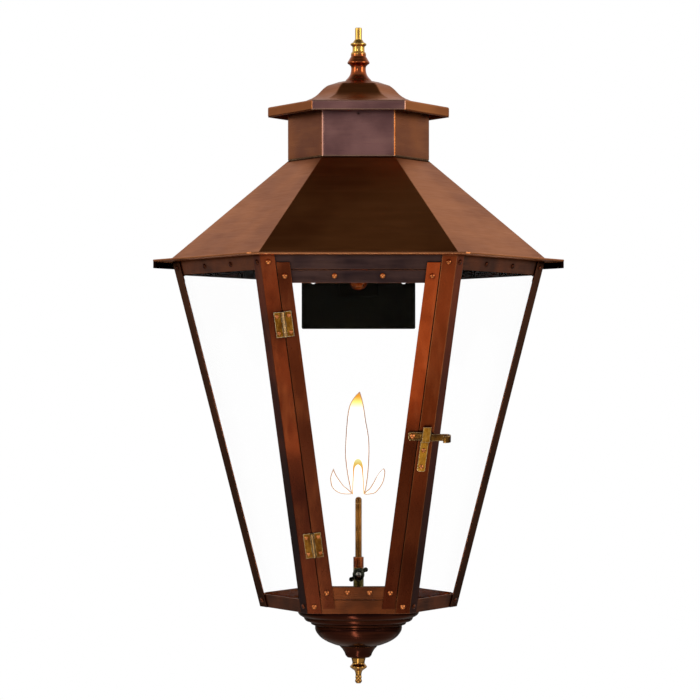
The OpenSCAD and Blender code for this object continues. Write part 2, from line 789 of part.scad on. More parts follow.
// The hanger ear: a tongue inside the rear band with a round lower end
module hanger_ear()
    color("#a0522d") place() difference() {
        at_bolt() translate([0, 0, -3 * sheet]) union() {
            cylinder(r = ear_r, h = sheet);
            translate([-ear_r, 0, 0]) cube([2 * ear_r, slant - ear_end - bolt_v, sheet]);
        }
        bolt_hole();
        on_face(3) ear_rivet_places() rivet_hole();
    }

module hanger_washer()
    color("#b5673c") place() at_bolt() translate([0, 0, -3 * sheet - washer_t]) difference() {
        cylinder(r = ear_r - 1.2, h = washer_t);
        translate([0, 0, -1]) cylinder(r = bolt_r, h = washer_t + 2);
    }

module hanger_bolt() {
    head_h = 5;
    shank = washer_t + 2 * sheet + plate_t + 9;
    color("#b5673c") place() at_bolt() translate([0, 0, -3 * sheet - washer_t]) {
        translate([0, 0, -head_h]) cylinder(r = 7 / cos(30), h = head_h, $fn = 6);
        cylinder(r = bolt_r, h = shank);
    }
}

module hanger_nut()
    color("#b5673c") place() at_bolt() translate([0, 0, plate_t - sheet + 2 * seat]) hex_nut(12, bolt_r, 6.4);

// One hinge leaf on the post side, with every second knuckle. The pin's axis is the Y axis,
// knuckle_r above the sheet.
module hinge_leaf(first) {
    knuckles = 5;
    pitch = hinge_l / knuckles;
    slack = 0.2;
    difference() {
        union() {
            translate([-leaf_w, -hinge_l / 2, 0]) cube([leaf_w - knuckle_r - play, hinge_l, leaf_t]);
            for (k = [first : 2 : knuckles - 1]) translate([0, -hinge_l / 2 + pitch * k + slack / 2, 0]) {
                translate([0, pitch - slack, knuckle_r]) rotate([90, 0, 0])
                    cylinder(r = knuckle_r, h = pitch - slack);
                translate([-knuckle_r - play - 1, 0, 0]) cube([knuckle_r + play + 1, pitch - slack, leaf_t]);
            }
        }
        translate([0, 0, knuckle_r]) rotate([90, 0, 0])
            cylinder(r = pin_r + (first == 1 ? fit : 0), h = hinge_l + 2, center = true);
        hinge_rivet_places() rivet_hole();
    }
}

module post_leaf(v) color("#8a6a2a") place() on_face(0) at_hinge(v) hinge_leaf(0);

module door_leaf(v) color("#8a6a2a") place() on_face(0) at_hinge(v) mirror([1, 0, 0]) hinge_leaf(1);

module hinge_pins()
    color("#d8b070") place() on_face(0) for (v = [upper_hinge_v, lower_hinge_v])
        at_hinge(v) translate([0, 0, knuckle_r]) rotate([90, 0, 0])
            cylinder(r = pin_r, h = hinge_l, center = true);

// A door stile: a strip beside the hinge gap or the latch gap, lapping the bands at both ends
module stile_blank() difference() {
    edge_strip(
        stile_in, stile_in + stile_w, foot_band_h - stile_foot_lap, slant - head_band_h + stile_lap, 0,
        sheet
    );
    stile_rivet_places() rivet_hole();
}

module door_stile_hinge()
    color("#8a4325") place() on_face(0) difference() {
        stile_blank();
        for (v = [upper_hinge_v, lower_hinge_v])
            at_hinge(v) mirror([1, 0, 0]) hinge_rivet_places() rivet_hole();
    }

module door_stile_latch()
    color("#8a4325") place() on_face(0) difference() {
        mirror([1, 0, 0]) stile_blank();
        at_latch() translate([0, 0, -20]) cylinder(r = pivot_r, h = 40);
    }

// A rail lies behind the two stiles
module rail(v0, v1) difference() {
    face_panel(stile_in + rail_end, v0, v1, -sheet, sheet);
    stile_rivet_places() rivet_hole();
    upper_rail_places() rivet_hole();
    lower_rail_places() rivet_hole();
}

module door_rail_upper() color("#5a3a33") place() on_face(0) rail(rail_head - rail_h, rail_head);

module door_rail_lower() color("#5a3a33") place() on_face(0) rail(rail_foot, rail_foot + rail_h);

module door_glass()
    color("#dfeef0", 0.25) place() on_face(0)
        face_panel(
            door_pane_in, rail_foot + rail_h - door_lap, rail_head - rail_h + door_lap, -2 * sheet, glass_t
        );

module door_clips()
    color("#8a4325") place() on_face(0) difference() {
        union() {
            for (u = [-upper_rivet_u, upper_rivet_u])
                translate([u, rail_head - rail_h + door_lap + play, -2 * sheet]) pane_clip();
            for (u = [-lower_rivet_u, lower_rivet_u])
                translate([u, rail_foot + rail_h - door_lap - play, -2 * sheet]) mirror([0, 1, 0])
                    pane_clip();
        }
        upper_rail_places() rivet_hole();
        lower_rail_places() rivet_hole();
    }

module door_rivets()
    color("#d98a5c") place() on_face(0) {
        stile_rivet_places() rivet(2 * sheet);
        translate([0, 0, -sheet]) {
            upper_rail_places() rivet(sheet + clip_t);
            lower_rail_places() rivet(sheet + clip_t);
        }
        for (v = [upper_hinge_v, lower_hinge_v]) at_hinge(v) mirror([1, 0, 0]) hinge_rivet_places()
            translate([0, 0, leaf_t]) rivet(leaf_t + sheet, pin_rivet_r, pin_rivet_h);
    }

// The rivet that the latch bar turns on, with a shoulder that holds the bar off the stile
module latch_pivot()
    color("#b5673c") place() on_face(0) at_latch() {
        translate([0, 0, -sheet - tail_h]) cylinder(r = pivot_r + 1, h = tail_h);
        translate([0, 0, -sheet]) cylinder(r = pivot_r, h = sheet + hook_z);
        cylinder(r = pivot_r + 1.4, h = bar_lift);
        translate([0, 0, hook_z]) dome_head(rivet_r, rivet_h);
    }

// The latch bar, with a hole for its pivot and a narrower end curled outwards for the thumb
module latch_bar() {
    back = 4.3;
    neck = keeper_w / 2 + pivot_in - keeper_in + 2;
    curl_x = bar_l + 6;
    color("#8a6a2a") place() on_face(0) at_latch() translate([0, 0, bar_z]) difference() {
        union() {
            translate([-back + 1, -bar_w / 2, 0]) cube([back + neck - 1, bar_w, bar_t]);
            translate([-back, -bar_w / 2 + 1, 0]) cube([back, bar_w - 2, bar_t]);
            translate([neck - 1, -thumb_w / 2 - thumb_drop, 0]) cube([curl_x - neck + 1, thumb_w, bar_t]);
            translate([curl_x, thumb_w / 2 - thumb_drop, curl_r]) rotate([90, 0, 0]) difference() {
                cylinder(r = curl_r, h = thumb_w);
                translate([0, 0, -1]) cylinder(r = curl_r - bar_t, h = thumb_w + 2);
                translate([-2 * curl_r, -curl_r - 1, -1]) cube([2 * curl_r, curl_r + 1, thumb_w + 2]);
                rotate([0, 0, 125]) translate([0, 0, -1]) cube([2 * curl_r, 2 * curl_r, thumb_w + 2]);
            }
        }
        translate([0, 0, -1]) cylinder(r = pivot_r + fit, h = bar_t + 2);
    }
}

// The keeper's two rivets, below its hook
module keeper_rivet_places()
    for (d = [9.6, 28.1]) translate([0, -bar_w / 2 - play - strip_t - d, 0]) children();

module keeper_holes() keeper_rivet_places() rivet_hole();

// The keeper: a strip on the post whose top folds out under the level bar and up in front of it.
// The hook's front leans with the strip.
module keeper() {
    shelf = -bar_w / 2 - play;
    corner = 2;
    front_h = lip_h + strip_t;
    lean = front_h * tan(edge_a);
    color("#8a6a2a") place() on_face(0) at_keeper() difference() {
        union() {
            translate([0, shelf - keeper_l, 0]) linear_extrude(strip_t)
                rounded_rect(keeper_w, keeper_l - strip_t / 2, corner);
            rotate([0, 0, -edge_a]) translate([-keeper_w / 2, shelf - strip_t, 0]) {
                cube([keeper_w, strip_t, hook_z + strip_t]);
                translate([0, 0, hook_z]) linear_extrude(strip_t)
                    polygon([[0, 0], [keeper_w, 0], [keeper_w - lean, front_h], [-lean, front_h]]);
            }
        }
        keeper_holes();
    }
}

module keeper_rivets()
    color("#b5673c") place() on_face(0) at_keeper() keeper_rivet_places()
        translate([0, 0, strip_t]) rivet(strip_t + sheet, keeper_rivet_r, pin_rivet_h);

top_finial();
finial_rod();
rod_nut();
cap();
cap_spacer();
cap_strap();
collar();
roof();
roof_brim();
head_band();
post(0);  // post_front_right
post(1);  // post_right
post(2);  // post_rear_right
post(3);  // post_rear_left
post(4);  // post_left
post(5);  // post_front_left
foot_band();
base_plate();
frame_rivets();
pane_clips();
fixed_glass(1);  // glass_front_right
fixed_glass(2);  // glass_rear_right
glass_rear();
fixed_glass(4);  // glass_rear_left
fixed_glass(5);  // glass_front_left
bowl();
bowl_stud();
bottom_finial();
wall_plate();
bracket_arm();
hanger_ear();
hanger_washer();
hanger_bolt();
hanger_nut();
post_leaf(upper_hinge_v);  // upper_post_leaf
post_leaf(lower_hinge_v);  // lower_post_leaf
hinge_pins();
keeper();
keeper_rivets();
manifold();
manifold_nut();
supply_pipe();
flare_nut();
valve_body();
burner_socket();
burner_tube();
burner_tip();
door_stile_hinge();
door_stile_latch();
door_rail_upper();
door_rail_lower();
door_glass();
door_clips();
door_rivets();
door_leaf(upper_hinge_v);  // upper_door_leaf
door_leaf(lower_hinge_v);  // lower_door_leaf
latch_pivot();
latch_bar();
valve_key();
key_screw();
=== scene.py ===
import bpy
import bmesh
import json
import numpy as np
from functools import partial
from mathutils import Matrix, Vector

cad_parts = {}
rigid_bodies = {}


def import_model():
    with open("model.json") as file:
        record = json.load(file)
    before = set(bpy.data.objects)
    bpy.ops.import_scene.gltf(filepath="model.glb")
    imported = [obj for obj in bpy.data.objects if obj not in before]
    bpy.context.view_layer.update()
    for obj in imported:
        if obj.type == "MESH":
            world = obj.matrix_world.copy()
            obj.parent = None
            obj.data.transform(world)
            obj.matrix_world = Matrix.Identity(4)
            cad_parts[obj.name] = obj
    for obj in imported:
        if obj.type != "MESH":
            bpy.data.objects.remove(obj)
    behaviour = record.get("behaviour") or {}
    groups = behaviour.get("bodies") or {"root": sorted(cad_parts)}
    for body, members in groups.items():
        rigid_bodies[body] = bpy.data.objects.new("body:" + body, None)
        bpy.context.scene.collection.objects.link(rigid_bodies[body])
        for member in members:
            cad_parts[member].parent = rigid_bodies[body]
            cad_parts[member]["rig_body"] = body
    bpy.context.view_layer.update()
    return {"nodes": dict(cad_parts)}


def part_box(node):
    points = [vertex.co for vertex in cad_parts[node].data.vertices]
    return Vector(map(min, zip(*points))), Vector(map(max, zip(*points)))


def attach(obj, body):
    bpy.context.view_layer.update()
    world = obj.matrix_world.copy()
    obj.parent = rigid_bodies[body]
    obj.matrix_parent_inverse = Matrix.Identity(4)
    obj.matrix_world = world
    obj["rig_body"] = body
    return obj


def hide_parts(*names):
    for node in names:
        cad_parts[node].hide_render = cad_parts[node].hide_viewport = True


for leftover in list(bpy.data.objects):
    bpy.data.objects.remove(leftover)
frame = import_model()
nodes = frame["nodes"]
sceneObjects = bpy.context.scene.collection.objects
print("lantern loaded:", len(nodes), "CAD pieces")

mm = 0.001

# sizes shared with the CAD source, in metres; the origin is on the wall behind the lantern
frameShape = {
    "footR": 110.5 * mm, "headR": 209 * mm, "height": 386.8 * mm, "axisY": -206.72 * mm, "footZ": -346.9 * mm,
}
onAxis = (0, frameShape["axisY"])
cos30 = np.cos(np.pi / 6)  # a hexagon's flat distance over its corner radius
slope = (frameShape["headR"] - frameShape["footR"]) / frameShape["height"]
tilt = np.arctan(slope * cos30)
edgeLean = np.arctan(slope * np.cos(tilt) / 2)
slant = frameShape["height"] / np.cos(tilt)


def halfWidth(v):
    # half of a side's width at height v up the slope
    return (frameShape["footR"] + slope * v * np.cos(tilt)) / 2


def onSide(side, points):
    # x along the side, y up its slope, z out of it, turned 60 degrees for each side
    x, y, z = np.moveaxis(np.asarray(points, float), -1, 0)
    flatY = -frameShape["footR"] * cos30 - y * np.sin(tilt) - z * np.cos(tilt)
    flatZ = y * np.cos(tilt) - z * np.sin(tilt)
    turn = np.radians(60 * side)
    return np.stack([
        x * np.cos(turn) - flatY * np.sin(turn),
        x * np.sin(turn) + flatY * np.cos(turn) + frameShape["axisY"],
        flatZ + frameShape["footZ"],
    ], -1)


def besideEdge(v, right, points):
    # the same frame turned to lie along the side's left edge, or mirrored along its right one
    x, y, z = np.moveaxis(np.asarray(points, float), -1, 0)
    along = x * np.cos(edgeLean) - y * np.sin(edgeLean) - halfWidth(v)
    up = x * np.sin(edgeLean) + y * np.cos(edgeLean) + v
    return np.stack([-along if right else along, up, z], -1)


def levelSpot(v, inset, right):
    # a place at height v, a distance in from the side's left edge or from its right one
    x = inset / np.cos(edgeLean) - halfWidth(v)
    return -x if right else x


def gridMesh(rings, closed=False):
    # joins a grid of points into quads: each ring wraps to its start, and so do the rings if closed
    index = np.arange(rings.shape[0] * rings.shape[1]).reshape(rings.shape[:2])
    index = np.concatenate([index, index[:, :1]], axis=1)
    if closed:
        index = np.concatenate([index, index[:1]], axis=0)
    quads = np.stack([index[:-1, :-1], index[:-1, 1:], index[1:, 1:], index[1:, :-1]], -1)
    return rings.reshape(-1, 3), quads.reshape(-1, 4)


weldDistance = 0.002 * mm


def makePiece(name, parts, body, material, replaced=(), smooth=True):
    # parts is a list of (points, quads); they become one object with its place in its mesh
    points, faces, start = [], [], 0
    for partPoints, partFaces in parts:
        points.append(partPoints)
        faces.append(partFaces + start)
        start += len(partPoints)
    mesh = bpy.data.meshes.new(name)
    mesh.from_pydata(np.concatenate(points), [], np.concatenate(faces).tolist())
    work = bmesh.new()
    work.from_mesh(mesh)
    bmesh.ops.remove_doubles(work, verts=work.verts, dist=weldDistance)
    bmesh.ops.dissolve_degenerate(work, edges=work.edges, dist=weldDistance)
    bmesh.ops.recalc_face_normals(work, faces=work.faces)
    work.to_mesh(mesh)
    work.free()
    mesh.shade_smooth() if smooth else mesh.shade_flat()
    piece = bpy.data.objects.new(name, mesh)
    sceneObjects.link(piece)
    mesh.materials.append(material)
    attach(piece, body)
    if replaced:
        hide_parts(*replaced)
    return piece


def capped(rings):
    # closes both ends of a tube of rings with a point at each end's middle
    ends = np.repeat(rings[[0, -1]].mean(axis=1, keepdims=True), rings.shape[1], axis=1)
    return np.concatenate([ends[:1], rings, ends[1:]])


def readVectors(items, name):
    # one vector of each vertex or face, as rows of x, y and z
    values = np.empty(3 * len(items))
    items.foreach_get(name, values)
    return values.reshape(-1, 3)


def throughPoints(points, count):
    # Catmull-Rom curve through every point: cubic pieces, each end sloped as the chord of its neighbours
    points = np.asarray(points, float)
    padded = np.concatenate([2 * points[:1] - points[1:2], points, 2 * points[-1:] - points[-2:-1]])
    s = np.linspace(0, len(points) - 1, count)
    k = np.minimum(s.astype(int), len(points) - 2)
    t = (s - k)[:, None]
    a, b, c, d = padded[k], padded[k + 1], padded[k + 2], padded[k + 3]
    return 0.5 * (2 * b + (c - a) * t + (2 * a - 5 * b + 4 * c - d) * t ** 2 + (3 * b - a - 3 * c + d) * t ** 3)


def fullTurn(count):
    # angles once round a circle, the end left out
    return np.linspace(0, 2 * np.pi, count, endpoint=False)


def lathe(profile, centre=(0, 0, 0), count=96):
    # a profile of radius and height turned round an upright axis
    angle = fullTurn(count)
    radius, height = profile[:, :1], profile[:, 1:]
    return np.stack([
        centre[0] + radius * np.cos(angle), centre[1] + radius * np.sin(angle),
        centre[2] + height + 0 * angle,
    ], -1)


def sheen(hexText):
    # sRGB hex to linear colour, by the standard's straight foot and power curve
    code = np.array([int(hexText[k:k + 2], 16) for k in (1, 3, 5)]) / 255
    linear = np.where(code <= 0.04045, code / 12.92, ((code + 0.055) / 1.055) ** 2.4)
    return (*linear.tolist(), 1.0)


def addNode(tree, kind, inputs=(), **settings):
    # one shader node, its inputs by socket name or number, each a value or (node, output), and its settings
    made = tree.nodes.new("ShaderNode" + kind)
    for name, value in settings.items():
        setattr(made, name, value)
    for socket, value in dict(inputs).items():
        if isinstance(value, tuple) and isinstance(value[0], bpy.types.Node):
            tree.links.new(value[0].outputs[value[1]], made.inputs[socket])
        else:
            made.inputs[socket].default_value = value
    return made


def setStops(ramp, stops):
    # a colour ramp's stops, each a place and a linear colour
    elements = ramp.color_ramp.elements
    for spare in list(elements)[1:]:
        elements.remove(spare)
    for k, (where, colour) in enumerate(stops):
        stop = elements[0] if k == 0 else elements.new(where)
        stop.position, stop.color = where, colour


def newMaterial(name):
    # an empty node material, and what adds a node to it
    material = bpy.data.materials.new(name)
    material.use_nodes = True
    material.node_tree.nodes.clear()
    return material, partial(addNode, material.node_tree)


colourMix, smoothStep = {"data_type": "RGBA"}, {"interpolation_type": "SMOOTHSTEP"}
# from which level of a noise, an edge's turn or a corner's openness a mark starts, and where it is full
marks = {
    "clouds": (0.34, 0.66), "rubs": (0.42, 0.74), "edges": (0.995, 0.93), "edgePatches": (0.3, 0.55),
    "corners": (0.97, 0.55), "brush": (0.3, 0.7), "turnedCorners": (0.92, 0.4),
}
leastWearGleam = 0.5  # the share of an edge's wear and painted highlight that even the darkest patch keeps
reliefDepth = 0.02 * mm
cornerShadeTint = "#4C4640"  # specular tint in corners and gaps: painted shade on grazing reflections, which would look grey without it


def fromTo(levels, size=1):
    # the two inputs that say where a Map Range starts and ends
    return {"From Min": levels[0] * size, "From Max": levels[1] * size}


def patinatedMetal(name, look):
    # a worn metal: slow clouds of patina, faint rub marks, a fine brush, bright edges and dark corners
    material, add = newMaterial(name)
    place = add("TexCoord")
    clouds = add("TexNoise", {
        "Vector": (place, "Object"), "Scale": 1 / (look["cloud"] * mm), "Detail": 3, "Roughness": 0.5,
    })
    cloudShare = add("MapRange", {"Value": (clouds, "Fac"), **fromTo(marks["clouds"])}, **smoothStep)
    patina = add("Mix", {0: (cloudShare, 0), 6: sheen(look["dark"]), 7: sheen(look["body"])}, **colourMix)
    rubPlace = add("Mapping", {
        "Vector": (place, "Object"), "Scale": tuple(1 / (size * mm) for size in look["grain"]),
    })
    rubMarks = add("TexNoise", {"Vector": (rubPlace, 0), "Scale": 1.0, "Detail": 2, "Roughness": 0.5})
    rubShare = add("MapRange", {
        "Value": (rubMarks, "Fac"), **fromTo(marks["rubs"]), "To Max": look["rub"],
    }, **smoothStep)
    rubbed = add("Mix", {0: (rubShare, 0), 6: (patina, 2), 7: sheen(look["bright"])}, **colourMix)
    # bright metal on the edges: partly wear from hands and tools, partly a painted highlight
    rounded = add("Bevel", {"Radius": look["edge"] * mm}, samples=6)
    surface = add("NewGeometry")
    turned = add("VectorMath", {0: (rounded, 0), 1: (surface, "Normal")}, operation="DOT_PRODUCT")
    edgeShare = add("MapRange", {"Value": (turned, "Value"), **fromTo(marks["edges"]), "To Max": look["wear"]})
    edgePatch = add("MapRange", {"Value": (clouds, "Fac"), **fromTo(marks["edgePatches"]), "To Min": leastWearGleam})
    edgeMask = add("Math", {0: (edgeShare, 0), 1: (edgePatch, 0)}, operation="MULTIPLY")
    worn = add("Mix", {0: (edgeMask, 0), 6: (rubbed, 2), 7: sheen(look["worn"])}, **colourMix)
    # dark patina in corners and round rivets, partly painted shade there and under the cap and brim, and
    # painted shade that darkens towards the foot
    corner = add("AmbientOcclusion", {"Distance": look["wash"] * mm}, samples=6)
    cornerShare = add("MapRange", {
        "Value": (corner, "AO"), **fromTo(marks["corners"]), "To Max": look["washed"],
    })
    heights = add("SeparateXYZ", {0: (place, "Object")})
    footShadeShare = add("MapRange", {
        "Value": (heights, "Z"), **fromTo(look["pool"][1:], mm), "To Max": look["pool"][0],
    }, **smoothStep)
    darkShare = add("Math", {0: (cornerShare, 0), 1: (footShadeShare, 0)}, operation="MAXIMUM")
    colour = add("Mix", {0: (darkShare, 0), 6: (worn, 2), 7: sheen(look["soot"])}, **colourMix)
    # painted shade on the reflections in corners and gaps
    edgeTint = add("Mix", {0: (cornerShare, 0), 6: sheen(look["tint"]), 7: sheen(cornerShadeTint)}, **colourMix)
    # brush lines along the sheet, drawn 0.5 mm apart where the real ones are finer, so that they show
    brushPlace = add("Mapping", {
        "Vector": (place, "Object"), "Scale": tuple(1 / (size * mm) for size in look["brush"]),
    })
    brush = add("TexNoise", {"Vector": (brushPlace, 0), "Scale": 1.0, "Detail": 3})
    gloss = add("MapRange", {
        "Value": (brush, "Fac"), **fromTo(marks["brush"]),
        "To Min": look["rough"][0], "To Max": look["rough"][1],
    })
    bump = add("Bump", {"Height": (brush, "Fac"), "Strength": look["relief"], "Distance": reliefDepth})
    shader = add("BsdfPrincipled", {
        "Base Color": (colour, 2), "Metallic": look["metallic"], "Roughness": (gloss, 0), "Normal": (bump, 0),
        "Specular IOR Level": look["specular"], "Specular Tint": (edgeTint, 2),
    })
    add("OutputMaterial", {"Surface": (shader, 0)})
    return material


# in each look, patterns and reaches are in mm; the painted shade towards the foot is given by its share,
# and the heights in mm where it starts and is full
# antique copper sheet: chemically browned, waxed satin, edges bright with raw copper and a painted highlight
antiqueCopper = dict(
    dark="#5A2410", body="#9A4420", bright="#C66A38", worn="#D07840", soot="#1E0C08",
    cloud=75, grain=(12, 12, 160), rub=0.25, brush=(0.5, 0.5, 24), edge=0.8, wear=0.45,
    wash=4, washed=0.85, rough=(0.26, 0.38), relief=0.1, metallic=1.0, specular=0.5,
    pool=(0.0, -180, -347), tint="#FFFFFF",
)
# the two front posts: warm, and darker towards the foot with painted shade
postCopper = patinatedMetal("antiqueCopperPosts", dict(antiqueCopper, pool=(0.84, -118, -195)))
# the post that the latch drops against: its outer corner carries a painted highlight, a bright line, and
# painted shade darkens it towards the foot
highlitPostCopper = patinatedMetal("antiqueCopperRubbedPost", dict(
    antiqueCopper, dark="#7C3414", body="#A84A20", pool=(0.8, -110, -240), edge=1.5, worn="#E89050", wear=1.0,
))
# the other posts, a shaded copy of the copper: dark brown, painted shade, so that they frame the bright panes
sidePostCopper = patinatedMetal("darkCopperSidePosts", dict(
    antiqueCopper, dark="#54301E", body="#6E4028", bright="#84503A", worn="#9A5A38",
    pool=(0.3, -110, -240), wear=0.4, tint="#E8DCD4",
))
# copper in shadow, near black as painted shade: clips, stop strips, the lip at the wall
sootedCopper = patinatedMetal("sootedCopper", dict(
    antiqueCopper, dark="#120A07", body="#1C100B", bright="#2C1A12", worn="#3A241A",
    rough=(0.4, 0.5), tint="#80706A",
))
# the door's hinge stile: a shaded copy, darker and redder than the post beside it, with painted shade towards
# the foot
hingeSideCopper = patinatedMetal("antiqueCopperHingeStile", dict(
    antiqueCopper, dark="#5C2812", body="#78381C", cloud=90, pool=(0.7, -50, -175),
))
# the latch stile: a lit copy of the copper, painted light that makes it bright orange above, and painted shade
# dark below the latch
latchSideCopper = patinatedMetal("antiqueCopperLatchStile", dict(
    antiqueCopper, dark="#A8421A", body="#E0642A", bright="#FF8A4C", cloud=70, pool=(0.9, -100, -165),
))
# the roof's slopes: even, satin, brushed along their length, and warm even where they are seen flat
roofCopper = patinatedMetal("antiqueCopperRoof", dict(
    antiqueCopper, dark="#8C4E26", body="#AC6836", bright="#C27C48", soot="#2A1006",
    grain=(160, 160, 10), brush=(30, 30, 0.6), cloud=110, rub=0.35, wash=5, washed=0.6,
    rough=(0.3, 0.42), tint="#FFE7DD", worn="#FFB482", wear=0.9,
))
# the collar: browner, with a wide band of painted shade under the cap and bright corners, partly rubbed and
# partly painted highlight
collarCopper = patinatedMetal("antiqueCopperCollar", dict(
    antiqueCopper, dark="#743A18", body="#94501F", bright="#B06A34", worn="#FFD0A0",
    grain=(60, 60, 10), brush=(30, 30, 0.5), wash=12, washed=0.8, edge=1.8, wear=1.0,
))
# the front of cap and collar: a greyer, bluish copy of the copper, painted shade with a painted cool reflection
# of the room in front
coolFrontCopper = patinatedMetal("smokedCopperFront", dict(
    antiqueCopper, dark="#80584C", body="#A47462", bright="#BC8A70", worn="#FFD0A0",
    soot="#301C16", grain=(60, 60, 10), brush=(30, 30, 0.5), cloud=50, wash=12,
    washed=0.7, edge=1.6, wear=1.0,
))
# the sides of head band and foot band: brown copper, brushed along the band
bandLook = dict(
    antiqueCopper, dark="#66381F", body="#964F28", bright="#B0683C", grain=(60, 60, 6),
    brush=(24, 24, 0.5), cloud=40, wash=5, washed=0.75,
)
bandCopper = patinatedMetal("antiqueCopperBands", bandLook)
# the front of the head band and the door's upper rail: dull and cool in the roof's shade
shadedCopper = patinatedMetal("shadedCopperFront", dict(
    bandLook, dark="#3A2A27", body="#583F34", bright="#75564A",
))
# the front of the foot band and the lower rail: red-brown, darker towards the foot with painted shade
footCopper = patinatedMetal("waxedCopperFoot", dict(bandLook, pool=(0.66, -180, -347)))
# the bowl: dark and glossy, with the soft vertical light band of a spun shape
bowlCopper = patinatedMetal("spunCopperBowl", dict(
    antiqueCopper, dark="#26110B", body="#3A1A10", bright="#5A2C1A", grain=(60, 60, 4),
    brush=(40, 40, 0.6), rub=0.3, rough=(0.17, 0.24), relief=0.06, wash=6, wear=0.5,
    soot="#0C0504", tint="#DCD2CC",
))
rivetLook = dict(
    antiqueCopper, dark="#A85C30", body="#D07E44", bright="#F0A060", worn="#FFC08A", cloud=14,
    grain=(4, 4, 4), rub=0.1, brush=(1.2, 1.2, 1.2), rough=(0.3, 0.36), relief=0.03,
    edge=0.2, wear=0.3, wash=1.6, washed=0.9, soot="#180A05",
)
# the front rivets: the lit copy of the rivet copper, bright round dots in a ring of dark patina and painted
# shade
rivetCopper = patinatedMetal("burnishedCopperRivets", rivetLook)
# the side rivets: the shaded copy, painted shade as dull as the sheet, so that they hardly show
sideRivetCopper = patinatedMetal("dulledCopperRivets", dict(
    rivetLook, dark="#3A1C10", body="#5A2E1C", bright="#7A4228", rough=(0.34, 0.42),
))
# the hinge leaves: deep golden brown, with a pale line round each leaf, partly wear and partly a painted
# highlight, and painted shade towards the foot
hingeLook = dict(
    antiqueCopper, dark="#6A3C0E", body="#9C661A", bright="#D8A040", worn="#FFE8B0",
    soot="#2A1606", pool=(0.74, -150, -270), cloud=14, grain=(3, 3, 16), rub=0.3, brush=(0.8, 0.8, 9),
    wash=2.2, washed=0.9, edge=0.9, wear=1.0, rough=(0.24, 0.34), relief=0.04,
)
hingeBrass = patinatedMetal("agedBrassHinges", hingeLook)
# the keeper: the yellowest metal on the front, rubbed each time the bar drops into it
keeperBrass = patinatedMetal("rubbedBrassKeeper", dict(
    hingeLook, dark="#9C6418", body="#CC8C2C", bright="#F0C060", pool=(0.0, -150, -270),
))
# the latch bar: tarnished dark brown, brighter on its edges
latchBrass = patinatedMetal("tarnishedBrassLatch", dict(
    hingeLook, dark="#3A2210", body="#6E4618", bright="#B08038", worn="#F0D090", pool=(0.0, -150, -270),
))
# the hinge barrels: pale brass, a painted highlight that makes a bright line between the leaves, with painted
# shade towards the foot
ribBrass = patinatedMetal("polishedBrassBarrel", dict(
    antiqueCopper, dark="#D0A060", body="#ECC080", bright="#F8D8A0", worn="#FFE6B0",
    soot="#4C2C0C", pool=(0.55, -150, -270), cloud=20, grain=(4, 4, 8), rub=0.1, brush=(0.7, 0.7, 6),
    wash=0.6, washed=0.4, edge=0.2, wear=0.3, rough=(0.22, 0.3), relief=0.03,
))
# the burner tube and the fittings in the bowl: brown tarnish streaked along the tube
burnerBrass = patinatedMetal("tarnishedBrassBurner", dict(
    antiqueCopper, dark="#4A2C10", body="#7C5022", bright="#A07038", worn="#E0B070",
    soot="#1E1206", cloud=24, grain=(2, 2, 30), brush=(0.5, 0.5, 9), wash=3, washed=0.6,
))
# the burner's socket: browned by the heat, redder than the tube in it
socketCopper = patinatedMetal("brownedBrassSocket", dict(
    antiqueCopper, dark="#4A200E", body="#7A3A1A", bright="#8E5028", worn="#C08050",
    soot="#1E1206", cloud=14, grain=(3, 3, 12), brush=(0.5, 0.5, 6), wash=3, washed=0.6,
))
# the valve's body: greenish dark tarnish
valveBrass = patinatedMetal("tarnishedBrassValve", dict(
    antiqueCopper, dark="#2E2812", body="#4C4220", bright="#6A5C30", worn="#A89458",
    soot="#12100A", cloud=8, grain=(3, 3, 12), brush=(0.5, 0.5, 6), wash=4, washed=0.8,
))
# the supply pipe: plain pale copper, as drawn
pipeCopper = patinatedMetal("drawnCopperPipe", dict(
    antiqueCopper, dark="#8A4A2C", body="#B8704A", bright="#D89068", grain=(20, 60, 20),
    brush=(0.6, 20, 0.6),
))
# the hanging bolt: a bright golden spot below the rear of the head band
boltCopper = patinatedMetal("copperPlatedBolt", dict(
    antiqueCopper, dark="#9A5226", body="#D08848", bright="#F0B070", cloud=8,
    grain=(4, 4, 4), brush=(1, 1, 1), wash=2, edge=0.6, rough=(0.2, 0.32),
))
# the valve key: nearly black, with soft highlights that show its lugs
keyBronze = patinatedMetal("blackenedBronzeKey", dict(
    antiqueCopper, dark="#14150F", body="#26281F", bright="#44463A", worn="#8C8A74",
    soot="#0A0A07", cloud=6, grain=(4, 4, 4), brush=(1, 1, 1), wash=2, edge=0.4,
    rough=(0.2, 0.32),
))
# the slotted end of the key's plug: a small grey glint in the dark head
screwSteel = patinatedMetal("brightSteelScrew", dict(
    antiqueCopper, dark="#54524C", body="#807C72", bright="#B0ACA0", worn="#D8D6CC",
    soot="#1A1A16", cloud=5, grain=(3, 3, 3), brush=(0.8, 0.8, 0.8), wash=1.6, edge=0.3,
))
# the wall plate and arm: matt black paint, a flat dark shape behind the glass
plateSteel = patinatedMetal("blackPaintedSteel", dict(
    antiqueCopper, dark="#0C0B06", body="#100F08", bright="#16150E", worn="#242018",
    soot="#080804", cloud=20, grain=(9, 9, 9), rub=0.3, brush=(3, 3, 3), wash=4,
    washed=0.4, rough=(0.55, 0.62), relief=0.0, metallic=0.0, edge=0.5, wear=0.4,
    specular=0.03,
))


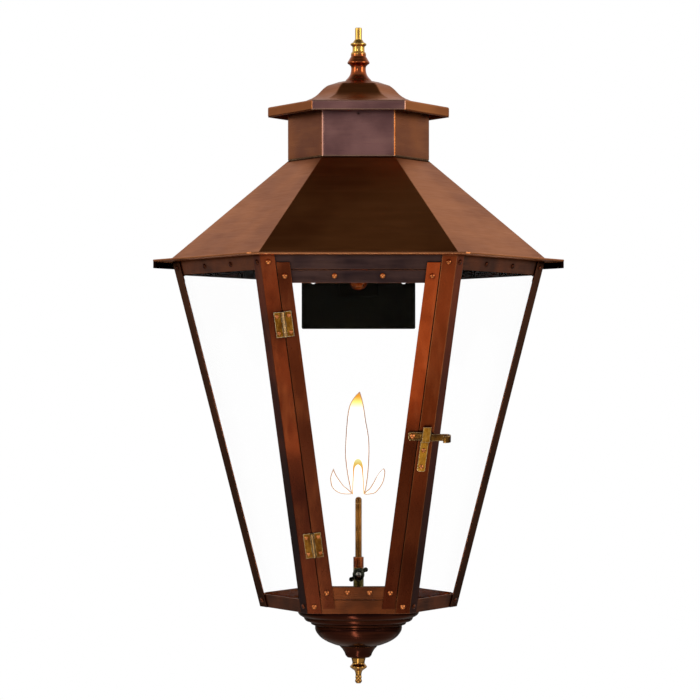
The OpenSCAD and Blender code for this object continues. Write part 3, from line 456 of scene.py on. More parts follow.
def turnedBrass(name, look):
    # lathe-turned brass over copper: the share of gold runs with height between two levels
    material, add = newMaterial(name)
    place = add("TexCoord")
    split = add("SeparateXYZ", {0: (place, "Object")})
    blur = add("TexNoise", {"Vector": (place, "Object"), "Scale": 1 / (look["cloud"] * mm), "Detail": 3})
    lifted = add("Math", {0: (blur, "Fac"), 1: look["drift"] * mm, 2: (split, "Z")}, operation="MULTIPLY_ADD")
    halfDrift = look["drift"] / 2  # keeps the mean height of the change where the look says
    gold = add("MapRange", {
        "Value": (lifted, 0), **fromTo((look["goldFrom"] + halfDrift, look["goldTo"] + halfDrift), mm),
    }, **smoothStep)
    colour = add("Mix", {0: (gold, 0), 6: sheen(look["copper"]), 7: sheen(look["gold"])}, **colourMix)
    # darker in the necks and corners: partly patina, partly painted shade
    corner = add("AmbientOcclusion", {"Distance": look["wash"] * mm}, samples=12)
    cornerShare = add("MapRange", {
        "Value": (corner, "AO"), **fromTo(marks["turnedCorners"]), "To Max": look["washed"],
    })
    shaded = add("Mix", {0: (cornerShare, 0), 6: (colour, 2), 7: sheen(look["soot"])}, **colourMix)
    lines = add("Mapping", {
        "Vector": (place, "Object"), "Scale": (look["round"], look["round"], 1 / (look["turning"] * mm)),
    })
    turning = add("TexNoise", {"Vector": (lines, 0), "Scale": 1.0, "Detail": 2})
    bump = add("Bump", {"Height": (turning, "Fac"), "Strength": look["relief"], "Distance": reliefDepth})
    shader = add("BsdfPrincipled", {
        "Base Color": (shaded, 2), "Metallic": 1.0, "Roughness": look["rough"], "Normal": (bump, 0),
    })
    add("OutputMaterial", {"Surface": (shader, 0)})
    return material


# turned brass, lacquered: mirror-like, with the tool's fine rings and dark necks, partly patina and partly
# painted shade
lacqueredBrass = dict(
    gold="#D8A850", copper="#A0522A", soot="#34120A", goldFrom=270, goldTo=276,
    cloud=5, drift=6, wash=5, washed=0.9, turning=0.5, round=10, relief=0.05, rough=0.17,
)
topBrass = turnedBrass("turnedBrassTopFinial", lacqueredBrass)
# the finial under the bowl: a shaded copy, duller and browner, painted shade as it hangs in the bowl's shade
dropBrass = turnedBrass("turnedBrassDrop", dict(
    lacqueredBrass, gold="#A87838", copper="#8C6030", soot="#3A2410", goldFrom=-440,
    goldTo=-420, wash=4,
))


def floatGlass(name):
    # clear float glass: colourless, and with a low IOR as weak a mirror as the photographed panes;
    # it lets the lamps' light through, so that it casts no shadow
    material, add = newMaterial(name)
    shader = add("BsdfPrincipled", {
        "Base Color": sheen("#FFFFFF"), "Roughness": 0.0, "IOR": 1.06, "Transmission Weight": 1.0,
    })
    clear = add("BsdfTransparent")
    path = add("LightPath")
    shown = add("MixShader", {0: (path, "Is Shadow Ray"), 1: (shader, 0), 2: (clear, 0)})
    add("OutputMaterial", {"Surface": (shown, 0)})
    return material


clearGlass = floatGlass("clearFloatGlass")
print("finishes made")

# which CAD pieces wear each finish
finishNodes = (
    (roofCopper, "roof roof_brim cap"), (collarCopper, "collar"), (shadedCopper, "door_rail_upper"),
    (bandCopper, "head_band foot_band base_plate"), (footCopper, "door_rail_lower"),
    (hingeSideCopper, "door_stile_hinge"), (latchSideCopper, "door_stile_latch"),
    (postCopper, "post_front_left cap_strap hanger_ear"), (highlitPostCopper, "post_front_right"),
    (sootedCopper, "pane_clips door_clips"),
    (sidePostCopper, "post_left post_right post_rear_left post_rear_right"),
    (hingeBrass, "upper_post_leaf lower_post_leaf upper_door_leaf lower_door_leaf hinge_pins"),
    (keeperBrass, "keeper"), (latchBrass, "latch_bar"), (rivetCopper, "latch_pivot"),
    (plateSteel, "wall_plate bracket_arm"), (boltCopper, "hanger_washer hanger_bolt hanger_nut"),
    (pipeCopper, "supply_pipe"), (valveBrass, "valve_body"), (socketCopper, "burner_socket"),
    (keyBronze, "valve_key"), (burnerBrass, "burner_tube burner_tip manifold manifold_nut flare_nut key_screw"),
    (burnerBrass, "finial_rod rod_nut cap_spacer bowl_stud"),
    (clearGlass, "door_glass glass_front_left glass_front_right glass_rear glass_rear_left glass_rear_right"),
)
finishOf = {name: finish for finish, names in finishNodes for name in names.split()}
for name, finish in finishOf.items():
    nodes[name].data.materials.clear()
    nodes[name].data.materials.append(finish)

# the small round that deburring leaves on each sharp edge, in mm; curved pieces keep their smooth shading
brokenEdges = {
    "roof": 0.6, "cap": 1.5, "collar": 2.2, "roof_brim": 0.6, "head_band": 0.2, "foot_band": 0.2,
    "door_rail_upper": 0.25, "door_rail_lower": 0.25, "door_stile_hinge": 0.3, "door_stile_latch": 0.3,
    "post_front_left": 0.35, "post_front_right": 0.35, "post_left": 0.35, "post_right": 0.35,
    "post_rear_left": 0.35, "post_rear_right": 0.35, "keeper": 0.25, "wall_plate": 0.4,
    "bracket_arm": 0.5,
}
curvedEdges = {"latch_bar": 0.3, "hanger_bolt": 0.35, "hanger_nut": 0.35, "hanger_washer": 0.2}
# pieces whose front face has a finish of its own, a copy with painted shade, and the brim, whose low faces
# round the wall's side are near black as painted shade
frontFinish = {"cap": coolFrontCopper, "collar": coolFrontCopper, "head_band": shadedCopper, "foot_band": footCopper}
brimDepth = 2.4 * mm
# how near corners merge, the degrees below which two faces are one and above which an edge is sharp,
# and how straight to the front a front face looks
deburring = {"merge": 0.004 * mm, "flat": 0.4, "sharp": 28, "segments": 3, "front": -0.95}


def mergedCopy(name, ending):
    # a copy of a CAD piece that takes its place, with its triangles merged into whole faces
    copy = nodes[name].copy()
    copy.data = nodes[name].data.copy()
    for key in list(copy.keys()):
        del copy[key]
    copy.name = copy.data.name = name + ending
    sceneObjects.link(copy)
    work = bmesh.new()
    work.from_mesh(copy.data)
    bmesh.ops.remove_doubles(work, verts=work.verts, dist=deburring["merge"])
    bmesh.ops.dissolve_limit(
        work, angle_limit=np.radians(deburring["flat"]), verts=work.verts, edges=work.edges)
    work.to_mesh(copy.data)
    work.free()
    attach(copy, nodes[name]["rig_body"])
    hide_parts(name)
    return copy


def deburred(name, width, curved):
    # a merged copy with a small round on each sharp edge
    copy = mergedCopy(name, "_deburred")
    faces = copy.data.polygons
    normals, centres = readVectors(faces, "normal"), readVectors(faces, "center")
    towardsWall = centres[:, 1] - frameShape["axisY"]
    if name in frontFinish:
        copy.data.materials.append(frontFinish[name])
        copy.data.materials.append(sootedCopper)
        inwards = normals[:, 0] * centres[:, 0] + normals[:, 1] * towardsWall < 0
        inFront = normals[:, 1] < deburring["front"]
        # the head band's inward faces take the near-black copper, painted shade
        choice = np.where(inwards & (name == "head_band"), 2, inFront)
        faces.foreach_set("material_index", choice.astype(np.int32))
    if name == "roof_brim":
        copy.data.materials.append(sootedCopper)
        low = centres[:, 2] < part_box(name)[1].z - brimDepth
        faces.foreach_set("material_index", (low & (towardsWall > -brimDepth)).astype(np.int32))
    copy.data.shade_smooth() if curved else copy.data.shade_flat()
    rounding = copy.modifiers.new("deburr", "BEVEL")
    rounding.width = width * mm
    rounding.segments = deburring["segments"]
    rounding.limit_method = "ANGLE"
    rounding.angle_limit = np.radians(deburring["sharp"])
    rounding.use_clamp_overlap = False
    rounding.miter_outer = "MITER_ARC"
    rounding.harden_normals = curved
    return copy


for name, width in brokenEdges.items():
    deburred(name, width, False)
for name, width in curvedEdges.items():
    deburred(name, width, True)
# the pane clips at the door's foot are filed down behind its lower rail, where the photo shows none
clipShape = {"round": 0.08, "below": 0.3 * mm, "reach": 12 * mm}
filedClips = deburred("door_clips", clipShape["round"], False).data
corners = readVectors(filedClips.vertices, "co")
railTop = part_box("door_rail_lower")[1].z - clipShape["below"]
atFoot = corners[:, 2] < railTop + clipShape["reach"]
corners[:, 2] = np.where(atFoot, np.minimum(corners[:, 2], railTop), corners[:, 2])
filedClips.vertices.foreach_set("co", corners.ravel())
filedClips.update()
# each pane is thinner by a hair, so that none of its faces lies exactly on the sheet that holds it
paneShrink = 0.08 * mm
for name in nodes:
    if finishOf.get(name) is clearGlass:
        pane = mergedCopy(name, "_fitted").data
        corners = readVectors(pane.vertices, "co") - readVectors(pane.vertex_normals, "vector") * paneShrink
        pane.vertices.foreach_set("co", corners.ravel())
        pane.shade_flat()
        pane.update()
print("sheet pieces deburred:", len(brokenEdges) + len(curvedEdges) + 1)

rivetShape = {"radius": 3 * mm, "height": 1.9 * mm, "round": 28, "rise": 9}
# places in from a side's edge or out from its middle, and up its slope or down from its top
rivetRows = {
    "post": (8.1 * mm, 7.7 * mm), "clip": (31 * mm, 8.2 * mm), "ear": (5.5 * mm, 5.6 * mm), "seat": -1.6 * mm,
    "stile": 23.4 * mm, "lowerRail": (12 * mm, 23.4 * mm), "upperRail": (25.5 * mm, slant - 23 * mm),
}
# a hinge's four rivets, u and v from its middle on the pin's line
hingeRivet = {
    "radius": 2.2 * mm, "height": 1.3 * mm, "round": 24, "rise": 8, "leaf": 1.2 * mm, "u": 6.4 * mm,
    "v": 9.1 * mm, "pin": 15.95 * mm, "upper": slant - 76.9 * mm, "lower": 75.4 * mm,
}
# a head's edge flares a little where it goes under the sheet's face
domeSkirt = {"flare": 1.02, "under": -0.12 * mm}


def ballRadius(shape):
    # of the ball that a cap of this radius and height is cut from
    return (shape["radius"] ** 2 + shape["height"] ** 2) / (2 * shape["height"])


def domes(shape, centres, place):
    # a spherical cap on a short skirt at each centre; place turns side coordinates into the lantern's
    ball, under = ballRadius(shape), domeSkirt["under"]
    bend = np.linspace(0, np.arcsin(shape["radius"] / ball), shape["rise"])
    profile = np.stack([ball * np.sin(bend), ball * np.cos(bend) - ball + shape["height"]], -1)
    profile = np.concatenate([profile, [[shape["radius"] * domeSkirt["flare"], under], [0, under]]])
    head, quads = gridMesh(lathe(profile, count=shape["round"]))
    return [(place(head + np.asarray(centre)), quads) for centre in centres]


def edgePlace(side, v, right):
    # places points beside a side's edge
    return lambda points: onSide(side, besideEdge(v, right, points))


frameRivets, sideRivets, doorRivets = [], [], []
postIn, postEnd = rivetRows["post"]
for side in range(6):
    for v in (postEnd, slant - postEnd):
        spots = [(levelSpot(v, postIn, right), v, 0) for right in (False, True)]
        group = frameRivets if side == 0 else sideRivets
        group += domes(rivetShape, spots, partial(onSide, side))
for side, (u, drop) in [(side, rivetRows["clip"]) for side in range(1, 6)] + [(3, rivetRows["ear"])]:
    spots = [(sign * u, slant - drop, rivetRows["seat"]) for sign in (-1, 1)]
    sideRivets += domes(rivetShape, spots, partial(onSide, side))
for u, v in (rivetRows["lowerRail"], rivetRows["upperRail"]):
    spots = [(levelSpot(v, rivetRows["stile"], right), v, 0) for right in (False, True)]
    spots += [(sign * u, v, rivetRows["seat"]) for sign in (-1, 1)]
    doorRivets += domes(rivetShape, spots, partial(onSide, 0))
for v in (hingeRivet["upper"], hingeRivet["lower"]):
    for sign, group in ((-1, frameRivets), (1, doorRivets)):
        spots = [(hingeRivet["pin"] + sign * hingeRivet["u"], dv, hingeRivet["leaf"])
                 for dv in (-hingeRivet["v"], hingeRivet["v"])]
        group += domes(hingeRivet, spots, edgePlace(0, v, False))
makePiece("frameRivetHeads", frameRivets, "frame", rivetCopper, ["frame_rivets"])
makePiece("sideRivetHeads", sideRivets, "frame", sideRivetCopper, ["frame_rivets"])
makePiece("doorRivetHeads", doorRivets, "door", rivetCopper, ["door_rivets"])

# the hinges' barrels, five knuckles each, with a fine groove between two knuckles
barrelShape = {
    "radius": 1.68 * mm, "length": 27.6 * mm, "lift": 1.6 * mm, "knuckles": 5, "groove": 0.3 * mm,
    "narrow": 24, "endRound": 40, "plainEnd": 0.98, "steps": 161, "round": 32,
}
t = np.linspace(-1, 1, barrelShape["steps"])
nearGroove = np.minimum(np.abs((t + 1) / 2 * barrelShape["knuckles"] % 1 - 0.5) * 2, 1)
grooves = nearGroove ** barrelShape["narrow"] * (np.abs(t) < barrelShape["plainEnd"])
barrelLine = np.stack([
    barrelShape["radius"] * (1 - t ** barrelShape["endRound"]) ** 0.5 - barrelShape["groove"] * grooves,
    barrelShape["length"] / 2 * t,
], -1)
points, quads = gridMesh(lathe(barrelLine, count=barrelShape["round"]))
points = np.stack([points[:, 0] + hingeRivet["pin"], points[:, 2], barrelShape["lift"] - points[:, 1]], -1)
barrels = [(edgePlace(0, v, False)(points), quads) for v in (hingeRivet["upper"], hingeRivet["lower"])]
makePiece("hingeBarrels", barrels, "frame", ribBrass, ["hinge_pins"])

# a thin stop strip behind each long gap of the door, riveted to the post in the real one, near black as painted
# shade in the gap; its section in mm, in from the side's edge and out of its face
stopShape = {"section": [[12, -1.66], [17.2, -1.66], [17.2, -2.26], [12, -2.26]], "v": 18 * mm}
x, z = np.array(stopShape["section"]).T * mm
stopLength = (slant - 2 * stopShape["v"]) / np.cos(edgeLean)
points, quads = gridMesh(capped(np.stack([np.stack([x, 0 * x + up, z], -1) for up in (0, stopLength)])))
stops = [(edgePlace(0, stopShape["v"], right)(points), quads) for right in (False, True)]
makePiece("doorStops", stops, "frame", sootedCopper, smooth=False)

# the strap's two rivets have wide countersunk heads, filed flush with the collar's front and back
flushRivet = {"radius": 5.4 * mm, "rise": 0.03 * mm, "drop": 6 * mm, "round": 32}
collarLow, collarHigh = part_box("collar")
flushLine = np.array([[0, flushRivet["rise"]], [flushRivet["radius"], flushRivet["rise"]]])
head, quads = gridMesh(lathe(flushLine, count=flushRivet["round"]))
for name, wallY, outward, finish in (
    ("flushRivetFront", collarLow.y, -1, coolFrontCopper), ("flushRivetBack", collarHigh.y, 1, collarCopper),
):
    points = np.stack([
        head[:, 0], wallY + outward * head[:, 2], collarHigh.z - flushRivet["drop"] + head[:, 1],
    ], -1)
    makePiece(name, [(points, quads)], "frame", finish, smooth=False)

# the keeper's screws, each slot at its own turn, and the slotted end of the valve key's plug
keeperScrew = {
    "radius": 2.5 * mm, "height": 1.4 * mm, "slot": 0.42 * mm, "depth": 0.7 * mm, "turns": (0.7, 2.2),
    "v": 199.4 * mm, "in": 8.2 * mm, "strip": 1.6 * mm, "drops": (16 * mm, 34.5 * mm),
}
keySlotScrew = {
    "radius": 2.9 * mm, "height": 1 * mm, "slot": 0.45 * mm, "depth": 0.6 * mm, "turn": 0.5, "sunk": 0.3 * mm,
    "lift": 36.4 * mm,
}
# points across and along half a head, and how far its underside is let in
headSteps = {"across": 8, "along": 17, "under": -0.15 * mm}


def slottedHead(shape, turn):
    # a round-topped head cut by a straight slot: x across the slot, y along it, top then underside
    radius, slot, across = shape["radius"], shape["slot"], headSteps["across"]
    ball = ballRadius(shape)
    outer = np.linspace(slot, radius, across)
    x = np.concatenate([-outer[::-1], [-slot, slot], outer])[:, None]
    inSlot = np.zeros_like(x, bool)
    inSlot[across:across + 2] = True
    y = np.linspace(-1, 1, headSteps["along"]) * np.sqrt(np.maximum(radius ** 2 - x ** 2, 0))
    z = np.sqrt(ball ** 2 - x ** 2 - y ** 2) - ball + shape["height"]
    z = np.where(inSlot, np.minimum(z, shape["height"] - shape["depth"]), z)
    top = np.stack([x + 0 * y, y, z], -1)
    under = top[:, ::-1].copy()
    under[..., 2] = headSteps["under"]
    x, y, z = np.moveaxis(np.concatenate([top, under], axis=1), -1, 0)
    c, s = np.cos(turn), np.sin(turn)
    return np.stack([x * c - y * s, x * s + y * c, z], -1)


keeperHeads = []
keeperV = keeperScrew["v"] - keeperScrew["in"] * np.sin(edgeLean)
for drop, turn in zip(keeperScrew["drops"], keeperScrew["turns"]):
    points, quads = gridMesh(slottedHead(keeperScrew, turn))
    points = points + np.array([keeperScrew["in"], -drop, keeperScrew["strip"]])
    keeperHeads.append((onSide(0, besideEdge(keeperV, True, points)), quads))
makePiece("keeperScrews", keeperHeads, "frame", rivetCopper, ["keeper_rivets"], smooth=False)

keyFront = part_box("valve_key")[0].y
points, quads = gridMesh(slottedHead(keySlotScrew, keySlotScrew["turn"]))
points = np.stack([
    points[:, 0], keyFront + keySlotScrew["sunk"] - points[:, 2],
    points[:, 1] + frameShape["footZ"] + keySlotScrew["lift"],
], -1)
makePiece("keySlotHead", [(points, quads)], "key", screwSteel, smooth=False)
print("rivets and screws made")

# the steps run between two of the sizes, or in mm from the ring and from the rim
bowlShape = {
    "wall": 1.2 * mm, "bottom": -403.8 * mm, "height": 56.9 * mm, "rim": 68 * mm, "belly": 48.8 * mm,
    "foot": 12.5 * mm, "ring": 36.1 * mm, "neckR": 21.3 * mm, "neckH": 12.6 * mm, "flange": 73 * mm,
    "fillet": 0.6 * mm, "lip": 1.5 * mm, "hole": 2.45 * mm, "steps": 260, "round": 128,
    "neckSteps": [[0, 0], [.22, .17], [.38, .44], [.62, .71], [.86, .9], [.97, .98], [1, 1]],
    "bellySteps": [
        [0, 0], [.16, .04], [.32, .11], [.46, .18], [.59, .26], [.71, .35], [.81, .45], [.88, .55],
        [.94, .65], [.98, .75], [1, .86], [1, .98],
    ],
    "ringSteps": [[.8, .2], [2.6, .8], [4.2, 1.5], [4.6, 2.6], [5.6, 3.8]],
    "rimSteps": [
        [-9.4, 5], [-7.6, 6.6], [-6.8, 8.2], [-6.4, 9.2], [-4.2, 10.2], [-1.8, 11.8], [-.5, 13.4],
        [0, 15.2], [0, 17.4], [0, 19.3],
    ],
}


def bowlOutline(shape):
    # from the hole at the bottom: hollow neck, round belly, two rolled rings and the rim
    ring, belly, rim, neckR = shape["ring"], shape["belly"], shape["rim"], shape["neckR"]
    bellyFoot = shape["neckH"] + shape["fillet"]
    return np.concatenate([
        (shape["foot"], 0) + np.array(shape["neckSteps"]) * (neckR - shape["foot"], shape["neckH"]),
        (neckR, bellyFoot) + np.array(shape["bellySteps"]) * (belly - neckR, ring - bellyFoot),
        (belly, ring) + np.array(shape["ringSteps"]) * mm,
        (rim, ring) + np.array(shape["rimSteps"]) * mm,
    ])


outside = throughPoints(bowlOutline(bowlShape), bowlShape["steps"])
top, flange, wall = bowlShape["height"], bowlShape["flange"], bowlShape["wall"]
rimTurn = np.array([[flange, top - wall], [flange, top], [bowlShape["rim"] - wall, top]])
inside = outside[::-1] + np.array([-wall, wall])
inside = inside[inside[:, 1] < top - bowlShape["lip"]]
bottomHole = np.array([[bowlShape["hole"], wall], [bowlShape["hole"], 0]])
section = np.concatenate([outside, rimTurn, inside, bottomHole])
bowlRings = lathe(section, (*onAxis, bowlShape["bottom"]), bowlShape["round"])
makePiece("spunBowl", [gridMesh(bowlRings, closed=True)], "frame", bowlCopper, ["bowl"])

# the finials' profiles, radius and height in mm, and the height of each one's foot
finialShape = {"top": 242.3 * mm, "topSteps": 220, "drop": -433.6 * mm, "dropSteps": 160}
topLine = np.array([
    [15, 0], [13.9, 1.5], [11, 4.8], [9.2, 8.2], [8.3, 13.1], [8.7, 16.4], [10.4, 18.3], [12.3, 19.7],
    [12.3, 21.2], [11.2, 23], [10.1, 25], [8.6, 27.6], [8.6, 29.6], [8.1, 31.8], [7, 33], [6.9, 38.4],
    [8.7, 40.2], [8.7, 42], [6.4, 43.4], [5.2, 45.2], [4.4, 46.2], [3.8, 47.5], [3.8, 58.6], [2.9, 59.6],
]) * mm
dropLine = np.array([
    [2.4, 0.5], [3.7, 2.2], [3.8, 3.9], [3.2, 5.4], [3.6, 7], [3.3, 9.6], [3.6, 12.2], [4.6, 14.6],
    [8, 17.2], [9.4, 18.6], [9.4, 19.8], [7.2, 22.4], [7, 24.2], [7.6, 27], [8, 28.6], [8, 29.8],
]) * mm


def turnedSolid(line, foot, count):
    # a smooth profile, closed on the axis at both ends and turned round it
    curve = throughPoints(line, count)
    closed = np.concatenate([[[0, curve[0, 1]]], curve, [[0, curve[-1, 1]]]])
    return gridMesh(lathe(closed, (*onAxis, foot)))


topSolid = turnedSolid(topLine, finialShape["top"], finialShape["topSteps"])
makePiece("turnedTopFinial", [topSolid], "frame", topBrass, ["top_finial"])
dropSolid = turnedSolid(dropLine, finialShape["drop"], finialShape["dropSteps"])
makePiece("turnedDrop", [dropSolid], "frame", dropBrass, ["bottom_finial"])
print("bowl and finials turned")

# the picture's grid at the burner, then the flame's own sizes
flameShape = {
    "y": frameShape["axisY"], "pixel": 1.122 * mm, "middle": 358.5, "horizon": 372.0, "cameraZ": -84 * mm,
    "depth": 0.55, "inset": -1.15 * mm, "thin": 0.02 * mm, "archFront": 8.4 * mm, "archDeep": 0.3 * mm,
    "low": -221.5 * mm, "high": -106 * mm,
}


def fromView(points):
    # a place in the picture's grid, on the upright plane through the burner
    points = np.asarray(points, float)
    return np.stack([
        (points[:, 0] - flameShape["middle"]) * flameShape["pixel"],
        flameShape["cameraZ"] + (flameShape["horizon"] - points[:, 1]) * flameShape["pixel"],
    ], -1)


def flameLeaf(left, right, grow, count=60, around=32):
    # between a left and a right outline, both from base to tip: an oval section at each height
    a, b = throughPoints(fromView(left), count), throughPoints(fromView(right), count)
    middle, across = (a + b) / 2, (b - a) / 2
    width = np.linalg.norm(across, axis=1, keepdims=True)
    unit = across / np.maximum(width, weldDistance / 2)
    angle = fullTurn(around)
    wide, deep = (np.maximum(size + grow, flameShape["thin"]) for size in (width, width * flameShape["depth"]))
    reach = wide[:, :, None] * unit[:, :, None] * np.cos(angle)
    y = flameShape["y"] + deep * np.sin(angle)
    return gridMesh(capped(np.stack([
        middle[:, 0, None] + reach[:, 0], y, middle[:, 1, None] + reach[:, 1],
    ], -1)))


def flameArch(line, side, count=80, around=12):
    # a round section carried along the arch of unburnt gas, its width given with each point
    line = np.asarray(line, float)
    curve = throughPoints(np.column_stack([fromView(line[:, :2]), line[:, 2] * mm]), count)
    along = np.gradient(curve[:, :2], axis=0)
    along /= np.linalg.norm(along, axis=1, keepdims=True)
    across = np.stack([-along[:, 1], along[:, 0]], -1)
    angle = fullTurn(around)
    reach = curve[:, 2, None] * np.cos(angle)
    y = flameShape["y"] + side * (flameShape["archFront"] + flameShape["archDeep"] * np.sin(angle)) + 0 * reach
    x, z = (curve[:, k, None] + across[:, k, None] * reach for k in (0, 1))
    return gridMesh(capped(np.stack([x, y, z], -1)))


# outlines as seen from the front, in the picture's grid of 700 by 700
flameOutlines = {
    "tongue": (
        [(351.4, 494), (349.2, 484), (347.3, 474.2), (345.9, 464), (345.2, 455.4), (345.4, 442), (346.7, 422.6),
         (348, 412), (350.2, 403.8), (354.6, 396.6), (359.2, 391.8)],
        [(364.9, 494), (366.5, 486), (368, 475), (369, 462.5), (369.4, 447.2), (368.4, 434), (366.1, 421.4),
         (364.6, 411), (363.1, 402.6), (361.4, 396), (360, 391.8)],
    ),
    "leftPetal": (
        [(350.8, 494.2), (344, 494), (337.9, 492.4), (332, 487.1), (330.3, 478.9), (331.6, 473),
         (333.4, 468.6)],
        [(351.6, 492.4), (349.1, 490), (346.6, 488), (343.8, 485.9), (337.9, 477.7), (335, 472.4),
         (333.7, 468.6)],
    ),
    "rightPetal": (
        [(364.4, 492.8), (367, 490.4), (369.6, 488.3), (373.4, 482.4), (376.6, 476.5), (380.2, 471.6),
         (383.5, 468.3)],
        [(365.4, 494.6), (371, 494), (376.6, 491.8), (383.1, 482.4), (385.1, 473), (384.8, 470),
         (383.9, 468.3)],
    ),
}
archLine = [
    (352.6, 493.6, 0.5), (352.9, 484, 0.5), (353.4, 474, 0.6), (354.2, 466, 1.2), (358, 461.4, 3.2),
    (361.8, 466, 1.2), (362.8, 474, 0.6), (363.4, 484, 0.5), (364, 493.6, 0.5),
]


def burningGas(name, strength, colours, spread):
    # glowing gas: the colour runs with height, from the foot to the tip
    material, add = newMaterial(name)
    place = add("TexCoord")
    split = add("SeparateXYZ", {0: (place, "Object")})
    rise = add("MapRange", {"Value": (split, "Z"), **fromTo((flameShape["low"], flameShape["high"]))})
    ramp = add("ValToRGB", {0: (rise, 0)})
    setStops(ramp, [(where, sheen(tint)) for where, tint in colours])
    glow = add("Emission", {"Color": (ramp, 0), "Strength": strength})
    clear = add("BsdfTransparent")
    shown = add("MixShader", {0: spread, 1: (clear, 0), 2: (glow, 0)})
    add("OutputMaterial", {"Surface": (shown, 0)})
    return material


# natural gas: a white core that turns yellow and brown at its tip, a thin orange rim, and the pale arch of
# unburnt gas above the burner
coreGas = burningGas("burningGasCore", 3.0, [
    (0.0, "#FFFFFF"), (0.83, "#FFFFFF"), (0.9, "#F0E080"), (0.95, "#C89030"), (1.0, "#A86820"),
], 1.0)
rimGas = burningGas("burningGasRim", 1.0, [
    (0.0, "#C88838"), (0.3, "#A86A30"), (0.7, "#8A5A38"), (0.9, "#C88830"), (1.0, "#A86020"),
], 0.6)
archGas = burningGas("unburntGasArch", 1.0, [
    (0.0, "#F0B868"), (0.2, "#F0A848"), (0.25, "#E8A040"), (0.3, "#E8C050"), (0.34, "#F0E89A"),
    (0.38, "#FFFFE8"),
], 0.8)
leaves = flameOutlines.values()
makePiece("flameCore", [flameLeaf(*leaf, flameShape["inset"]) for leaf in leaves], "frame", coreGas)
makePiece("flameRim", [flameLeaf(*leaf, 0) for leaf in leaves], "frame", rimGas)
makePiece("flameArch", [flameArch(archLine, side) for side in (-1, 1)], "frame", archGas)
print("flame made")

# the floor: pale paint that keeps the lantern's shadow, partly white where it is seen or mirrored, and open
# to a view from below
floorShape = {"z": -1.2, "radius": 2.3, "y": -0.7, "round": 96, "share": 0.72, "glossShare": 0.12}
angle = fullTurn(floorShape["round"])
floorPoints = np.stack([
    floorShape["radius"] * np.cos(angle), floorShape["radius"] * np.sin(angle) + floorShape["y"],
    0 * angle + floorShape["z"],
], -1)
floorMesh = bpy.data.meshes.new("studioFloor")
floorMesh.from_pydata(floorPoints, [], [list(range(len(floorPoints)))])
floor = bpy.data.objects.new("studioFloor", floorMesh)
sceneObjects.link(floor)
paleFloor, add = newMaterial("palePaintedFloor")
paint = add("BsdfDiffuse", {"Color": sheen("#F2F2F0")})
white = add("Emission", {"Color": sheen("#FFFFFF"), "Strength": 1.0})
path = add("LightPath")
seen = add("Math", {0: (path, "Is Camera Ray"), 1: (path, "Is Transmission Ray")}, operation="MAXIMUM")
share = add("Math", {0: (seen, 0), 1: floorShape["share"]}, operation="MULTIPLY")
mirrored = add("Math", {
    0: (path, "Is Glossy Ray"), 1: floorShape["glossShare"], 2: (share, 0),
}, operation="MULTIPLY_ADD")
shown = add("MixShader", {0: (mirrored, 0), 1: (paint, 0), 2: (white, 0)})
below = add("NewGeometry")
opened = add("BsdfTransparent")
fromBelow = add("MixShader", {0: (below, "Backfacing"), 1: (shown, 0), 2: (opened, 0)})
add("OutputMaterial", {"Surface": (fromBelow, 0)})
floorMesh.materials.append(paleFloor)

# the studio as the metal sees it, by the height of the sight line: dim below, white walls, a dim ceiling;
# the room in front is dim and cool
studio = {
    "levels": [(-1, .06), (-.4, .1), (-.15, .2), (0, .5), (.2, .8), (.5, .8), (.72, .4), (.88, .1), (1, .05)],
    "room": "#A9ABC4", "roomDepth": (-0.2, -0.8), "fill": 0.6,
}
world = bpy.data.worlds.new("whiteStudio")
bpy.context.scene.world = world
world.use_nodes = True
world.node_tree.nodes.clear()
add = partial(addNode, world.node_tree)
direction = add("TexCoord")
split = add("SeparateXYZ", {0: (direction, "Generated")})
height = add("MapRange", {"Value": (split, "Z"), **fromTo((-1, 1))})
wall = add("ValToRGB", {0: (height, 0)})
setStops(wall, [((where + 1) / 2, (level, level, level, 1)) for where, level in studio["levels"]])
front = add("MapRange", {"Value": (split, "Y"), **fromTo(studio["roomDepth"])}, **smoothStep)
around = add("Mix", {0: (front, 0), 6: (wall, 0), 7: sheen(studio["room"])}, **colourMix)
path = add("LightPath")
level = add("Math", {
    0: (path, "Is Glossy Ray"), 1: 1 - studio["fill"], 2: studio["fill"],
}, operation="MULTIPLY_ADD")
lit = add("Background", {"Color": (around, 2), "Strength": (level, 0)})
white = add("Background", {"Color": sheen("#FFFFFF"), "Strength": 1.0})
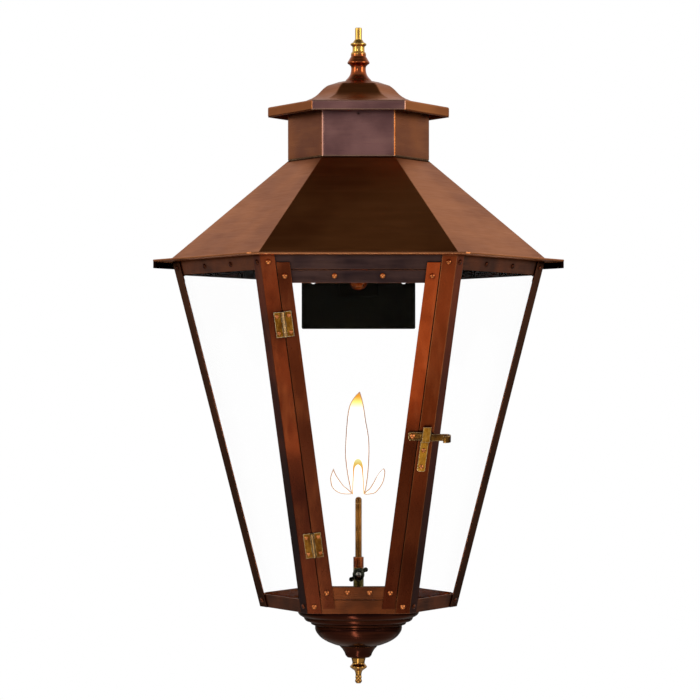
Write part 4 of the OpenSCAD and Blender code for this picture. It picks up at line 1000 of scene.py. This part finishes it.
seen = add("Math", {0: (path, "Is Camera Ray"), 1: (path, "Is Transmission Ray")}, operation="MAXIMUM")
sky = add("MixShader", {0: (seen, 0), 1: (lit, 0), 2: (white, 0)})
add("OutputWorld", {"Surface": (sky, 0)})


def softbox(name, place, target, width, height, power):
    # a rectangular lamp that faces its target and isn't seen itself
    data = bpy.data.lights.new(name, "AREA")
    data.shape, data.size, data.size_y, data.energy = "RECTANGLE", width, height, power
    lamp = bpy.data.objects.new(name, data)
    lamp.location = place
    lamp.rotation_mode = "QUATERNION"
    lamp.rotation_quaternion = (Vector(target) - Vector(place)).to_track_quat("-Z", "Y")
    lamp.visible_camera = False
    sceneObjects.link(lamp)


# where each lamp stands and looks, its width and height in metres and its power in watts
glassMiddle, bowlMiddle = (*onAxis, -0.05), (*onAxis, -0.38)
for lampShape in (
    ("leftBox", (-1.9, -1.3, 0.5), glassMiddle, 0.9, 1.6, 12.8),
    ("rightBox", (1.9, -1.3, 0.5), glassMiddle, 0.9, 1.6, 18.4),
    ("bowlStrip", (-0.11, -0.75, -0.85), bowlMiddle, 0.08, 0.95, 2.0),
    ("keyBox", (-0.9, -2.6, 1.1), glassMiddle, 0.5, 0.5, 4),
):
    softbox(*lampShape)

# the camera looks straight at the wall, as the photo's did; lens and sensor are in mm, and the shift in
# pixels of a picture 700 wide
cameraShape = {
    "place": (0, -3.2922, -0.084), "lens": 141.43, "sensor": 36, "shift": (-8.5, 22), "picture": 700,
    "clip": (0.05, 30),
}
cameraData = bpy.data.cameras.new("photoCamera")
camera = bpy.data.objects.new("photoCamera", cameraData)
camera.location = cameraShape["place"]
camera.rotation_euler = (np.pi / 2, 0, 0)
cameraData.lens, cameraData.sensor_width = cameraShape["lens"], cameraShape["sensor"]
cameraData.shift_x, cameraData.shift_y = (pixels / cameraShape["picture"] for pixels in cameraShape["shift"])
cameraData.clip_start, cameraData.clip_end = cameraShape["clip"]
sceneObjects.link(camera)
bpy.context.scene.camera = camera
bpy.context.scene.view_settings.view_transform = "Standard"
print("stage, light and camera set")
